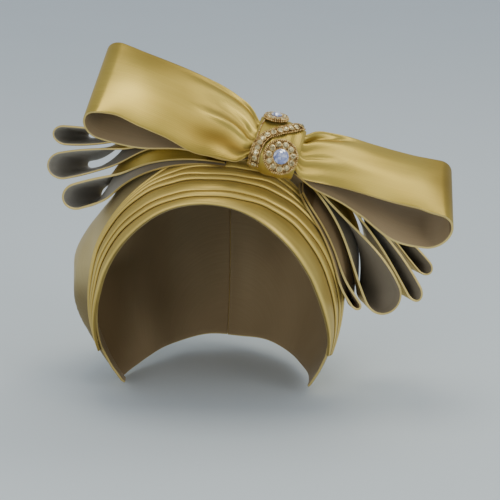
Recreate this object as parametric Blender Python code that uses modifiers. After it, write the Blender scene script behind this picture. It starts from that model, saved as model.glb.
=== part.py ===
"""A tied gele head tie: satin cap, brow pleats, a great bow, fan loops and a jewelled knot.

Sizes are millimetres until a point is written to a mesh. The origin is the seat on the crown
of the head, +Z is up, the brow faces -Y, and +X is the side that hangs lower.
"""

import math
from collections import namedtuple

import bmesh
import bpy
from mathutils import Matrix, Vector

MM = 0.001
WELD = 0.00001

# Head hollow
HEAD_HALF_WIDTH = 72.0
HEAD_HALF_DEPTH = 90.0
CROWN_RISE = 82.0
CROWN_FULLNESS = 2.1
NECK_TAPER = 0.33

# Cloth and clearances
CLOTH = 1.2
CAP_WALL = 1.5
SEAT_GAP = 0.3
PLEAT_GAP = 0.5
FAN_SPACING = 0.5
FAN_CLEARANCE = 0.4
CAP_EASE = 1.8
PLEAT_WALL = 1.1
PLEAT_STEP = 1.9
PLEAT_TUCK = 0.07
PLEAT_SLOPE_SHARE = 0.55
PLEAT_RISER_SHARE = 0.1
PLEAT_END_LIFT = 0.25
PLEAT_END_START = 0.72
PLEAT_INNER_ROWS = 5

# Cap
HEM_HEIGHT = -157.0
NAPE_RISE = 6.0
NAPE_TURNS = (110.0, 170.0)
HEM_TURN = 76.0
HEM_DROP_TURN = 6.0
# The fullness behind grows between two turns from the brow, and between two heights.
BACK_FULLNESS = 7.0
BACK_TURNS = (112.0, 160.0)
BACK_TOP = (-30.0, -85.0)
BACK_TAPER = 0.75
BACK_TAPER_START = -112.0
# The fullness on the left, over the ear.
SIDE_FULLNESS_HIGH = 9.7
SIDE_FULLNESS_LOW = 11.3
SIDE_TURN = -90.0
SIDE_SPREAD = 26.0
SIDE_START_HIGH = -66.0
SIDE_START_LOW = -87.0
SIDE_START_SPREAD = 10.0
SIDE_START_HEIGHTS = (-75.0, -135.0)
SIDE_TOP = (-56.0, -84.0)
SIDE_LOW = (-80.0, -118.0)
SIDE_TAPER = 0.5
# Upright folds behind, and how far under the pleats the cap's front edge lies.
CAP_FOLD_DEPTH = 1.6
CAP_FOLDS = 9
CAP_FOLD_TOP = (-20.0, -70.0)
CAP_UNDER_PLEATS = 0.34

# One row for each station along the brow arch, from the middle to the ear. Turn is the angle
# round the head from the brow, height is below the crown seat; both for the face edge of the
# pleats, for their back edge on the left and for their back edge on the right.
ArchRow = namedtuple("ArchRow", "share face_turn face_height left_turn left_height right_turn right_height")
ARCH = (
    ArchRow(0.00, 0.0, -33.5, 0.0, -12.5, 0.0, -12.5),
    ArchRow(0.15, 14.7, -36.0, 19.0, -16.5, 24.0, -14.5),
    ArchRow(0.30, 27.0, -43.5, 34.5, -27.0, 41.5, -21.5),
    ArchRow(0.45, 38.4, -57.0, 46.0, -41.0, 52.5, -33.5),
    ArchRow(0.60, 48.2, -75.0, 55.0, -59.0, 62.0, -51.0),
    ArchRow(0.70, 54.0, -89.0, 60.5, -77.0, 70.0, -68.0),
    ArchRow(0.80, 60.0, -104.0, 66.5, -96.0, 78.0, -89.0),
    ArchRow(0.90, 66.0, -118.0, 73.5, -116.0, 81.5, -111.0),
    ArchRow(1.00, 71.0, -131.0, 81.0, -135.0, 82.0, -135.0),
)
# How far each pleat ridge lies from the face edge to the back edge.
PLEAT_RIDGES = (0.0, 0.11, 0.36, 0.47, 0.81, 0.90, 1.0)

# The two loops of the bow. Root and end are the middles of the band, lean tips its width back, and
# dip is how far the band sinks just past the knot.
BowRow = namedtuple(
    "BowRow",
    "name root end root_lean end_lean spread width root_width half_gap nose sag power flare crest dip",
)
BOW_LOOPS = (
    BowRow("bow_loop_left", (30.0, -57.0, -1.8), (-63.0, -42.0, 27.0), 56.0, 54.0, 0.16, 53.5, 19.8, 10.5, 9.0,
           -1.5, 3.2, 8.5, 2.0, 3.1),
    BowRow("bow_loop_right", (46.0, -57.5, -6.0), (134.0, -39.0, -40.0), 56.0, 70.0, 0.14, 51.0, 20.5, 12.0, 10.0,
           3.0, 1.7, 2.0, 0.0, 2.6),
)
BOW_GATHERS = 3
BOW_GATHER_DEPTH = 1.6
BOW_GATHER_REACH = 24.0
BOW_BACK_GATHER = 0.6
BOW_LEAN_REACH = 0.8
BOW_CREST_REACH = 0.8
BOW_PINCH_REACH = 7.0
BOW_DIP_PLACE = 17.0
BOW_DIP_REACH = 8.0
BOW_ROOT_HALF_GAP = 3.3
BOW_GRIP = 7.5

FAN_ROOT_HALF_GAP = 1.0
FAN_DEPTH_SHARES = (0.0, 0.9)
FAN_RISE_SHARES = (0.3, 0.95)
FAN_LOWER_LEG = (0.4, 0.6)
# The fan loops, each a strip of cloth turned back on itself, seen end-on from the front. Layer
# counts the loops out from the head. Towards its back edge a loop narrows to the back half gap
# and loses the back short share of its length.
FanRow = namedtuple(
    "FanRow",
    "name layer root tip half_gap nose sag power root_depth tip_depth root_rise tip_rise lean_in "
    "back_half_gap back_short",
)
FAN_LOOPS = (
    FanRow("fan_loop_left_1", 2, (-21.0, -43.4, 2.3), (-90.0, -30.0, -3.3), 5.3, 7.0, 2.0, 2.2, 14.0, 44.0, 0.35,
           -0.22, 0.06, 1.9, 0.16),
    FanRow("fan_loop_left_2", 1, (-4.0, -52.0, -4.5), (-93.0, -33.0, -22.1), 7.5, 9.0, -1.0, 2.8, 14.0, 46.0, 0.45,
           -0.22, 0.08, 2.6, 0.14),
    FanRow("fan_loop_left_3", 0, (10.0, -62.0, -14.0), (-84.0, -37.0, -39.8), 7.2, 9.0, -2.6, 2.0, 12.0, 46.0, 0.55,
           -0.22, 0.10, 4.2, 0.12),
    FanRow("fan_loop_right_1", 3, (80.2, -40.3, -30.8), (125.0, -22.0, -83.0), 4.0, 6.0, -1.0, 2.0, 12.0, 42.0, 0.2,
           -0.20, -0.20, 1.5, 0.12),
    FanRow("fan_loop_right_2", 2, (64.0, -48.0, -23.0), (119.0, -26.0, -98.0), 4.2, 7.0, -4.8, 2.0, 12.0, 44.0, 0.2,
           -0.20, -0.20, 1.5, 0.12),
    FanRow("fan_loop_right_3", 1, (57.5, -54.0, -24.0), (102.5, -31.0, -104.0), 10.5, 12.0, -4.0, 2.5, 12.0, 46.0, 0.2,
           -0.20, -0.20, 1.6, 0.16),
    FanRow("fan_loop_right_4", 0, (52.0, -56.0, -29.0), (83.5, -33.0, -102.0), 4.2, 7.0, 3.0, 1.8, 12.0, 44.0, 0.2,
           -0.20, -0.10, 1.6, 0.08),
)

# Knot
KNOT_CENTRE = (38.5, -57.0, -2.7)
KNOT_AXIS = (0.94, 0.0, -0.30)
KNOT_LEAN = 57.0
KNOT_LENGTH = 26.0
KNOT_HALF_WIDTH = 16.5
KNOT_END_WIDTH = 15.0
KNOT_HALF_HEIGHT = 10.0
KNOT_END_HEIGHT = 7.2
KNOT_UNDER_HEIGHT = 13.6
KNOT_SQUARENESS = 0.8

# Jewels. One row for each medallion: its place on the knot and its rim radius.
MedallionRow = namedtuple("MedallionRow", "name along around radius")
MEDALLIONS = (
    MedallionRow("medallion_front", 3.3, -58.0, 9.3),
    MedallionRow("medallion_top", -5.0, 39.0, 6.6),
)
# The middle line of the stone trim on the knot, from its front end to its back end.
TrimRow = namedtuple("TrimRow", "along around")
TRIM = (
    TrimRow(-8.6, -98.0),
    TrimRow(-9.4, -74.0),
    TrimRow(-9.4, -52.0),
    TrimRow(-8.8, -32.0),
    TrimRow(-6.6, -14.0),
    TrimRow(-2.0, -2.0),
    TrimRow(2.0, 6.0),
    TrimRow(6.0, 20.0),
    TrimRow(9.6, 46.0),
)
TRIM_WIDTH = 4.2
TRIM_WALL = 1.1
TRIM_CROWN = 0.25
TRIM_STONES = 13
TRIM_STONE_RADIUS = 1.5
TRIM_STEPS = 26
MEDALLION_BASE = 1.5
MEDALLION_TAPER = 0.94
MEDALLION_STONES = 11
MEDALLION_SIDES = 24
STONE_RADIUS = 0.165
CRYSTAL_RADIUS = 0.45
STONE_RING = 0.72
STONE_SINK = 0.4
# A cut stone's outline as shares of its radius: seat, girdle height, table height and width.
SEAT_SHARE = 0.9
GIRDLE_HEIGHT = 0.35
TABLE_HEIGHT = 0.85
TABLE_SHARE = 0.55
STONE_FACETS = 8
CRYSTAL_FACETS = 12

# Finishes
Finish = namedtuple("Finish", "colour roughness metallic")
SATIN_CAP = Finish((0.36, 0.28, 0.09), 0.42, 0.0)
SATIN_PLEATS = Finish((0.46, 0.36, 0.13), 0.36, 0.0)
SATIN_BOW = Finish((0.50, 0.42, 0.18), 0.38, 0.0)
SATIN_FAN = Finish((0.40, 0.33, 0.13), 0.40, 0.0)
SATIN_KNOT = Finish((0.48, 0.38, 0.15), 0.36, 0.0)
JEWEL_METAL = Finish((0.80, 0.58, 0.32), 0.28, 1.0)

# Mesh fineness
CAP_TURNS = 40
CAP_RINGS = 11
ARCH_STEPS = 34
BOW_LEG_STEPS = 9
BOW_NOSE_STEPS = 6
BOW_WIDTH_STEPS = 8
FAN_LEG_STEPS = 8
FAN_NOSE_STEPS = 6
FAN_DEPTH_STEPS = 3
KNOT_ROUND_STEPS = 20
KNOT_LENGTH_STEPS = 6


def clear_scene():
    """Remove what the file holds."""
    for item in list(bpy.data.objects):
        bpy.data.objects.remove(item, do_unlink=True)


def smooth_step(low, high, value):
    """Return 0 below low, 1 above high and a smooth rise between."""
    share = min(max((value - low) / (high - low), 0.0), 1.0)
    return share * share * (3.0 - 2.0 * share)


def blend(first, second, share):
    """Return the value between first and second."""
    return first + (second - first) * share


def make_finish(name, finish):
    """Make the piece's own material."""
    material = bpy.data.materials.new(name + "_finish")
    material.use_nodes = True
    shader = material.node_tree.nodes["Principled BSDF"]
    shader.inputs["Base Color"].default_value = (*finish.colour, 1.0)
    shader.inputs["Roughness"].default_value = finish.roughness
    shader.inputs["Metallic"].default_value = finish.metallic
    return material


def head_section(height):
    """Return the size of the head's section at a height, 1 at its widest."""
    above = (height + CROWN_RISE) / CROWN_RISE
    if above > 0.0:
        return max(1.0 - min(above, 1.0) ** CROWN_FULLNESS, 0.0) ** (1.0 / CROWN_FULLNESS)
    return 1.0 - NECK_TAPER * min(-above, 1.3) ** 3


def head_point(turn, height, ease):
    """Return the point at a turn and height on the head form, moved out along its normal."""
    angle = math.radians(turn)
    size = head_section(height)
    x = HEAD_HALF_WIDTH * math.sin(angle) * size
    y = -HEAD_HALF_DEPTH * math.cos(angle) * size
    step = 0.5
    change = (head_section(height - step) ** 2 - head_section(height + step) ** 2) / (2.0 * step)
    normal = Vector((2.0 * x / HEAD_HALF_WIDTH ** 2, 2.0 * y / HEAD_HALF_DEPTH ** 2, change))
    if height > -step:
        normal = Vector((0.0, 0.0, 1.0))
    return Vector((x, y, height)) + normal.normalized() * ease


def head_ease(point):
    """Return about how far a point stands out from the head form, and the way out."""
    x, y, z = point
    if z < -CROWN_RISE:
        size = head_section(z)
        way = Vector((x / HEAD_HALF_WIDTH ** 2, y / HEAD_HALF_DEPTH ** 2, 0.0))
        level = math.hypot(x / HEAD_HALF_WIDTH, y / HEAD_HALF_DEPTH) / size
    else:
        above = (z + CROWN_RISE) / CROWN_RISE
        flat = math.hypot(x / HEAD_HALF_WIDTH, y / HEAD_HALF_DEPTH)
        level = (flat ** CROWN_FULLNESS + above ** CROWN_FULLNESS) ** (1.0 / CROWN_FULLNESS)
        side = flat ** (CROWN_FULLNESS - 2.0) if flat > 0.0 else 0.0
        way = Vector((
            side * x / HEAD_HALF_WIDTH ** 2,
            side * y / HEAD_HALF_DEPTH ** 2,
            above ** (CROWN_FULLNESS - 1.0) / CROWN_RISE,
        ))
    centre = Vector((0.0, 0.0, min(z, -CROWN_RISE)))
    reach = (Vector(point) - centre).length
    way.normalize()
    outward = (Vector(point) - centre).normalized()
    ease = reach * (1.0 - 1.0 / max(level, 1e-6)) * max(outward.dot(way), 0.2)
    return ease, way


def keep_off_head(point, clearance):
    """Move a point out until it stands the clearance off the head form."""
    for _ in range(3):
        ease, way = head_ease(point)
        if ease >= clearance:
            break
        point = point + way * (clearance - ease)
    return point


def arch_value(share, column):
    """Read one column of the brow arch on a smooth curve through its stations."""
    sign = -1.0 if column.endswith("turn") else 1.0
    shares = [-ARCH[1].share] + [row.share for row in ARCH]
    values = [sign * getattr(ARCH[1], column)] + [getattr(row, column) for row in ARCH]
    place = 1
    while place < len(shares) - 2 and share > shares[place + 1]:
        place += 1
    span = shares[place + 1] - shares[place]
    part = (share - shares[place]) / span
    after = min(place + 2, len(shares) - 1)
    slope_in = (values[place + 1] - values[place - 1]) / (shares[place + 1] - shares[place - 1]) * span
    slope_out = (values[after] - values[place]) / (shares[after] - shares[place]) * span
    square = part * part
    cube = square * part
    return (
        values[place] * (2.0 * cube - 3.0 * square + 1.0)
        + slope_in * (cube - 2.0 * square + part)
        + values[place + 1] * (3.0 * square - 2.0 * cube)
        + slope_out * (cube - square)
    )


def arch_place(along, across):
    """Return the turn and height at a place on the pleats; along runs -1 to 1, ear to ear."""
    share = abs(along)
    side = "left" if along < 0.0 else "right"
    turn = blend(arch_value(share, "face_turn"), arch_value(share, side + "_turn"), across)
    height = blend(arch_value(share, "face_height"), arch_value(share, side + "_height"), across)
    return math.copysign(turn, along), height


def cap_edge(turn):
    """Return the height of the cap's lower edge at a turn: under the pleats, then the hem."""
    turn = (turn + 180.0) % 360.0 - 180.0
    nape = HEM_HEIGHT + NAPE_RISE * smooth_step(*NAPE_TURNS, abs(turn))
    if abs(turn) >= HEM_TURN:
        joint = arch_place(math.copysign(1.0, turn), CAP_UNDER_PLEATS)[1]
        return blend(joint, nape, smooth_step(HEM_TURN, HEM_TURN + HEM_DROP_TURN, abs(turn)))
    low, high = 0.0, 1.0
    for _ in range(24):
        middle = (low + high) / 2.0
        if abs(arch_place(math.copysign(middle, turn), CAP_UNDER_PLEATS)[0]) < abs(turn):
            low = middle
        else:
            high = middle
    return arch_place(math.copysign(low, turn), CAP_UNDER_PLEATS)[1]


def cap_ease(turn, height):
    """Return how far the cap stands off the head: snug in front, full on the left and behind."""
    turn = (turn + 180.0) % 360.0 - 180.0
    behind = smooth_step(*BACK_TURNS, abs(turn))
    body = smooth_step(*BACK_TOP, height) * (1.0 - BACK_TAPER * smooth_step(BACK_TAPER_START, HEM_HEIGHT, height))
    back = BACK_FULLNESS * behind * body
    offset = (turn - SIDE_TURN) / SIDE_SPREAD
    fullness = blend(SIDE_FULLNESS_HIGH, SIDE_FULLNESS_LOW, smooth_step(*SIDE_LOW, height))
    fullness *= smooth_step(*SIDE_TOP, height) * (1.0 - SIDE_TAPER * smooth_step(SIDE_LOW[1], HEM_HEIGHT, height))
    start = blend(SIDE_START_HIGH, SIDE_START_LOW, smooth_step(*SIDE_START_HEIGHTS, height))
    fullness *= smooth_step(start, start - SIDE_START_SPREAD, turn) if turn < 0.0 else 0.0
    side = fullness * math.exp(-offset * offset)
    folds = CAP_FOLD_DEPTH * math.sin(CAP_FOLDS * math.radians(turn)) * behind * smooth_step(*CAP_FOLD_TOP, height)
    return CAP_EASE + max(back, side) + folds


def cap_place(u, v):
    """Place the crown cap: u goes round the head, v goes from the crown to the edge."""
    turn = 360.0 * u - 180.0
    edge = cap_edge(turn)
    per_degree = CROWN_RISE * math.pi / 180.0
    if edge > -CROWN_RISE:
        edge_angle = math.degrees(math.acos(1.0 + edge / CROWN_RISE))
    else:
        edge_angle = 90.0 + (-CROWN_RISE - edge) / per_degree
    angle = edge_angle * v
    if angle <= 90.0:
        height = -CROWN_RISE * (1.0 - math.cos(math.radians(angle)))
    else:
        height = -CROWN_RISE - (angle - 90.0) * per_degree
    return head_point(turn, height, cap_ease(turn, height))


def pleat_profile():
    """Return across and lift pairs round the pleated band: ridged outside, smooth inside."""
    outside = [(0.0, 1.0)]
    for ridge, following in zip(PLEAT_RIDGES, PLEAT_RIDGES[1:]):
        wide = following - ridge
        outside.append((ridge + PLEAT_SLOPE_SHARE * wide, 0.5))
        outside.append((following - PLEAT_RISER_SHARE * wide, 0.0))
        outside.append((following, 1.0))
    last = PLEAT_RIDGES[-1] + PLEAT_TUCK
    outside.append((last, 0.0))
    inside = [(last * (1.0 - step / PLEAT_INNER_ROWS), None) for step in range(PLEAT_INNER_ROWS + 1)]
    return outside + inside + [outside[0]]


def pleats_place(u, row):
    """Place the brow pleats: u goes ear to ear, row counts the points of the pleat profile."""
    across, lift = pleat_profile()[row]
    along = 2.0 * u - 1.0
    turn, height = arch_place(along, across)
    inner = cap_ease(turn, height) + CAP_WALL / 2.0 + PLEAT_GAP
    if lift is None:
        return head_point(turn, height, inner)
    step = PLEAT_STEP * blend(PLEAT_END_LIFT, 1.0, smooth_step(1.0, PLEAT_END_START, abs(along)))
    return head_point(turn, height, inner + PLEAT_WALL + step * lift)


def teardrop(length, half_gap, root_half_gap, nose, sag, power, leg_steps, nose_steps):
    """Return (along, offset, leg share) round a loop: out along one leg, round the nose, back."""
    leg = length - nose
    outer = []
    for step in range(leg_steps + 1):
        share = step / leg_steps
        gap = blend(root_half_gap, half_gap, math.sin(math.pi / 2.0 * share) ** power)
        along = leg * share
        centre = -sag * math.sin(math.pi * along / length)
        outer.append((along, centre, gap))
    points = [(along, centre + gap) for along, centre, gap in outer]
    for step in range(1, nose_steps):
        angle = math.pi * (0.5 - step / nose_steps)
        along = leg + nose * math.cos(angle)
        centre = -sag * math.sin(math.pi * along / length)
        points.append((along, centre + half_gap * math.sin(angle)))
    points += [(along, centre - gap) for along, centre, gap in reversed(outer)]
    return points


def bow_frame(row, share):
    """Return axis, width and outward directions of a bow loop at a share of its length."""
    axis = (Vector(row.end) - Vector(row.root)).normalized()
    lean = math.radians(blend(row.root_lean, row.end_lean, smooth_step(0.0, BOW_LEAN_REACH, share)))
    width = Vector((row.spread, math.sin(lean), math.cos(lean)))
    width = (width - axis * width.dot(axis)).normalized()
    outward = axis.cross(width)
    return axis, width, -outward if outward.y > 0.0 else outward


def bow_place(row, rim, u, v):
    """Place a bow loop: u counts the rim points, v goes across the band, low edge to high."""
    along, offset = rim[u]
    share = along / (Vector(row.end) - Vector(row.root)).length
    axis, width, outward = bow_frame(row, share)
    pinch = math.exp(-max(along - BOW_GRIP, 0.0) / BOW_PINCH_REACH)
    band = blend(row.width, row.root_width, pinch) * (v - 0.5)
    band += row.crest * v * math.sin(math.pi * min(share / BOW_CREST_REACH, 1.0)) ** 2
    band -= row.dip * math.exp(-((along - BOW_DIP_PLACE) / BOW_DIP_REACH) ** 2)
    reach = along + row.flare * (v - 0.5) * share
    fold = math.sin(2.0 * math.pi * BOW_GATHERS * v) * math.exp(-along / BOW_GATHER_REACH)
    shift = BOW_GATHER_DEPTH * fold * (1.0 if offset > 0.0 else BOW_BACK_GATHER)
    return Vector(row.root) + axis * reach + width * band + outward * (offset + shift)


def fan_place(row, rim, u, v, clearance):
    """Place a fan loop: u counts the rim points, v goes from the front edge to the back edge."""
    root = Vector(row.root)
    axis = Vector(row.tip) - root
    along, offset = rim[u]
    share = along / axis.length
    way = axis.normalized()
    back = Vector((0.0, 1.0, 0.0))
    lift = back.cross(way)
    if lift.dot(Vector(row.tip) - Vector((0.0, row.tip[1], -CROWN_RISE))) < 0.0:
        lift = -lift
    lift.normalize()
    depth = blend(row.root_depth, row.tip_depth, smooth_step(*FAN_DEPTH_SHARES, share))
    rise = blend(row.root_rise, row.tip_rise, smooth_step(*FAN_RISE_SHARES, share))
    point = root + way * along + lift * offset + Vector((row.lean_in, 1.0, rise)).normalized() * depth * v
    return keep_off_head(point, clearance)


def sheet(name, columns, rows, place, wall, finish, collection):
    """Make a cloth sheet: a grid laid out by its place function, given its wall."""
    mesh = bpy.data.meshes.new(name)
    grid = bmesh.new()
    bmesh.ops.create_grid(grid, x_segments=columns, y_segments=rows, size=0.5)
    for vertex in grid.verts:
        u = vertex.co.x + 0.5
        v = vertex.co.y + 0.5
        vertex.co = place(u, v) * MM
    bmesh.ops.remove_doubles(grid, verts=grid.verts, dist=WELD)
    grid.to_mesh(mesh)
    grid.free()
    mesh.materials.append(make_finish(name, finish))
    piece = bpy.data.objects.new(name, mesh)
    collection.objects.link(piece)
    solidify = piece.modifiers.new("wall", "SOLIDIFY")
    solidify.thickness = wall * MM
    solidify.offset = 0.0
    solidify.use_even_offset = True
    mesh.shade_smooth()
    return piece


def make_cap(collection):
    """Make the cloth shell over the top, back and sides of the head."""
    return sheet("crown_cap", CAP_TURNS, CAP_RINGS, cap_place, CAP_WALL, SATIN_CAP, collection)


def make_pleats(collection):
    """Make the pleated band over the brow, closed at both ears."""
    rows = len(pleat_profile()) - 1
    mesh = bpy.data.meshes.new("brow_pleats")
    band = bmesh.new()
    bmesh.ops.create_grid(band, x_segments=ARCH_STEPS, y_segments=rows, size=0.5)
    for vertex in band.verts:
        vertex.co = pleats_place(vertex.co.x + 0.5, round((vertex.co.y + 0.5) * rows)) * MM
    bmesh.ops.remove_doubles(band, verts=band.verts, dist=WELD)
    bmesh.ops.holes_fill(band, edges=[edge for edge in band.edges if edge.is_boundary])
    bmesh.ops.recalc_face_normals(band, faces=band.faces)
    band.to_mesh(mesh)
    band.free()
    mesh.materials.append(make_finish("brow_pleats", SATIN_PLEATS))
    piece = bpy.data.objects.new("brow_pleats", mesh)
    collection.objects.link(piece)
    return piece


def make_bow_loop(row, collection):
    """Make one hollow loop of the bow."""
    length = (Vector(row.end) - Vector(row.root)).length
    rim = teardrop(length, row.half_gap, BOW_ROOT_HALF_GAP, row.nose, row.sag, row.power, BOW_LEG_STEPS,
                   BOW_NOSE_STEPS)
    steps = len(rim) - 1

    def place(u, v):
        return bow_place(row, rim, round(u * steps), v)

    return sheet(row.name, steps, BOW_WIDTH_STEPS, place, CLOTH, SATIN_BOW, collection)


def fan_rims(row):
    """Return a fan loop's rim at each step from its front edge to its back edge."""
    length = (Vector(row.tip) - Vector(row.root)).length
    rims = []
    for step in range(FAN_DEPTH_STEPS + 1):
        back = step / FAN_DEPTH_STEPS
        half_gap = blend(row.half_gap, row.back_half_gap, back)
        nose = row.nose * half_gap / row.half_gap
        rims.append(teardrop(length * (1.0 - row.back_short * back), half_gap, FAN_ROOT_HALF_GAP, nose, row.sag,
                             row.power, FAN_LEG_STEPS, FAN_NOSE_STEPS))
    return rims


def make_fan_loop(row, collection):
    """Make one fan loop; it keeps the layers under it clear off the head."""
    rims = fan_rims(row)
    steps = len(rims[0]) - 1
    spacing = CLOTH + SEAT_GAP + FAN_SPACING
    over_pleats = CAP_EASE + CAP_WALL / 2.0 + PLEAT_GAP + PLEAT_WALL + PLEAT_STEP + SEAT_GAP + CLOTH / 2.0 + FAN_CLEARANCE

    def place(u, v):
        count = round(u * steps)
        upper = 1.0 - smooth_step(*FAN_LOWER_LEG, u)
        clearance = over_pleats + spacing * (2.0 * row.layer + upper)
        return fan_place(row, rims[round(v * FAN_DEPTH_STEPS)], count, v, clearance)

    return sheet(row.name, steps, FAN_DEPTH_STEPS, place, CLOTH, SATIN_FAN, collection)


def knot_frame():
    """Return centre, axis, width and outward directions of the knot."""
    axis = Vector(KNOT_AXIS).normalized()
    lean = math.radians(KNOT_LEAN)
    width = Vector((0.0, math.sin(lean), math.cos(lean)))
    width = (width - axis * width.dot(axis)).normalized()
    outward = axis.cross(width)
    if outward.y > 0.0:
        outward = -outward
    return Vector(KNOT_CENTRE), axis, width, outward


def knot_place(along, around):
    """Return the point on the knot at a place along its axis and an angle round it."""
    centre, axis, width, outward = knot_frame()
    end = abs(2.0 * along / KNOT_LENGTH)
    angle = math.radians(around)
    crown = KNOT_HALF_HEIGHT if math.cos(angle) > 0.0 else KNOT_UNDER_HEIGHT
    half_height = blend(crown, crown - KNOT_HALF_HEIGHT + KNOT_END_HEIGHT, end * end)
    half_width = blend(KNOT_HALF_WIDTH, KNOT_END_WIDTH, end * end)
    across = math.copysign(abs(math.sin(angle)) ** KNOT_SQUARENESS, math.sin(angle))
    above = math.copysign(abs(math.cos(angle)) ** KNOT_SQUARENESS, math.cos(angle))
    return centre + axis * along + width * half_width * across + outward * half_height * above


def make_knot(collection):
    """Make the band round the pinch of the bow."""
    def place(u, v):
        return knot_place(KNOT_LENGTH * (v - 0.5), 360.0 * u)

    return sheet("knot_wrap", KNOT_ROUND_STEPS, KNOT_LENGTH_STEPS, place, CLOTH, SATIN_KNOT, collection)


def knot_outward(along, around):
    """Return the direction straight out of the knot at a place on it."""
    step = 0.5
    lengthwise = knot_place(along + step, around) - knot_place(along - step, around)
    roundwise = knot_place(along, around + step) - knot_place(along, around - step)
    outward = lengthwise.cross(roundwise).normalized()
    centre, axis = knot_frame()[:2]
    middle = centre + axis * along
    return outward if outward.dot(knot_place(along, around) - middle) > 0.0 else -outward


def jewel_matrix(along, around, height):
    """Return the placement that stands a jewel over a place on the knot."""
    outward = knot_outward(along, around)
    turn = outward.to_track_quat("Z", "Y").to_matrix().to_4x4()
    return Matrix.Translation(knot_place(along, around) + outward * height) @ turn


def trim_place(share):
    """Return the place on the knot at a share of the trim's line, on a smooth curve."""
    last = len(TRIM) - 1
    reach = share * last
    index = min(int(reach), last - 1)
    part = reach - index
    rows = [TRIM[max(index - 1, 0)], TRIM[index], TRIM[index + 1], TRIM[min(index + 2, last)]]
    weights = (
        (-part + 2.0 * part ** 2 - part ** 3) / 2.0,
        (2.0 - 5.0 * part ** 2 + 3.0 * part ** 3) / 2.0,
        (part + 4.0 * part ** 2 - 3.0 * part ** 3) / 2.0,
        (part ** 3 - part ** 2) / 2.0,
    )
    along = sum(weight * row.along for weight, row in zip(weights, rows))
    around = sum(weight * row.around for weight, row in zip(weights, rows))
    return along, around


def trim_point(share, side, height):
    """Return a point of the trim: side runs -1 to 1 across it, height is over the knot."""
    step = 0.01
    along, around = trim_place(share)
    before = knot_place(*trim_place(max(share - step, 0.0)))
    after = knot_place(*trim_place(min(share + step, 1.0)))
    outward = knot_outward(along, around)
    sideways = outward.cross((after - before).normalized())
    return knot_place(along, around) + sideways * (side * TRIM_WIDTH / 2.0) + outward * height


def add_stone(mesh, placement, radius, facets):
    """Spin one cut stone: a girdle, a ring of facets and a table."""
    outline = (
        (0.0, -STONE_SINK),
        (radius * SEAT_SHARE, -STONE_SINK),
        (radius, GIRDLE_HEIGHT * radius),
        (radius * TABLE_SHARE, TABLE_HEIGHT * radius),
        (0.0, TABLE_HEIGHT * radius),
    )
    corners = [mesh.verts.new((across, 0.0, height)) for across, height in outline]
    lines = [mesh.edges.new(pair) for pair in zip(corners, corners[1:])]
    bmesh.ops.spin(mesh, geom=corners + lines, cent=(0.0, 0.0, 0.0), axis=(0.0, 0.0, 1.0),
                   angle=2.0 * math.pi, steps=facets, use_merge=True)
    fresh = [vertex for vertex in mesh.verts if not vertex.tag]
    bmesh.ops.transform(mesh, matrix=placement, verts=fresh)
    for vertex in fresh:
        vertex.tag = True


def finish_mesh(name, shape, collection, cutter=False):
    """Close a shape built in millimetres and make it an object in metres."""
    bmesh.ops.remove_doubles(shape, verts=shape.verts, dist=WELD / MM)
    bmesh.ops.recalc_face_normals(shape, faces=shape.faces)
    bmesh.ops.scale(shape, vec=(MM, MM, MM), verts=shape.verts)
    mesh = bpy.data.meshes.new(name)
    shape.to_mesh(mesh)
    shape.free()
    mesh.materials.append(make_finish(name, JEWEL_METAL))
    piece = bpy.data.objects.new(name, mesh)
    collection.objects.link(piece)
    if cutter:
        piece.hide_render = True
        piece.display_type = "WIRE"
    return piece


def fuse(piece, stones):
    """Fuse the stones into the setting as one body."""
    union = piece.modifiers.new("stones", "BOOLEAN")
    union.operation = "UNION"
    union.solver = "EXACT"
    union.object = stones


def make_medallion(row, collection, cutters):
    """Make a round jewel: a setting with a centre crystal and a ring of stones."""
    height = CLOTH / 2.0 + SEAT_GAP + MEDALLION_BASE / 2.0
    placement = jewel_matrix(row.along, row.around, height)
    base = bmesh.new()
    bmesh.ops.create_cone(base, cap_ends=True, segments=MEDALLION_SIDES, radius1=row.radius,
                          radius2=row.radius * MEDALLION_TAPER, depth=MEDALLION_BASE)
    bmesh.ops.transform(base, matrix=placement, verts=base.verts)
    piece = finish_mesh(row.name, base, collection)
    stones = bmesh.new()
    top = Matrix.Translation((0.0, 0.0, MEDALLION_BASE / 2.0))
    add_stone(stones, placement @ top, CRYSTAL_RADIUS * row.radius, CRYSTAL_FACETS)
    for count in range(MEDALLION_STONES):
        angle = 2.0 * math.pi * count / MEDALLION_STONES
        ring = Matrix.Rotation(angle, 4, "Z") @ Matrix.Translation((STONE_RING * row.radius, 0.0, 0.0))
        add_stone(stones, placement @ top @ ring, STONE_RADIUS * row.radius, STONE_FACETS)
    fuse(piece, finish_mesh(row.name + "_stones", stones, cutters, cutter=True))
    return piece


def make_trim(collection, cutters):
    """Make the strip of round stones across the knot."""
    height = CLOTH / 2.0 + SEAT_GAP + TRIM_WALL / 2.0

    def place(u, v):
        side = 2.0 * v - 1.0
        return trim_point(u, side, height + TRIM_CROWN * (1.0 - side * side))

    piece = sheet("rhinestone_trim", TRIM_STEPS, 2, place, TRIM_WALL, JEWEL_METAL, collection)
    stones = bmesh.new()
    for count in range(TRIM_STONES):
        along, around = trim_place((count + 0.5) / TRIM_STONES)
        placement = jewel_matrix(along, around, height + TRIM_WALL / 2.0 + TRIM_CROWN)
        add_stone(stones, placement, TRIM_STONE_RADIUS, STONE_FACETS)
    fuse(piece, finish_mesh("rhinestone_trim_stones", stones, cutters, cutter=True))
    return piece


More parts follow.
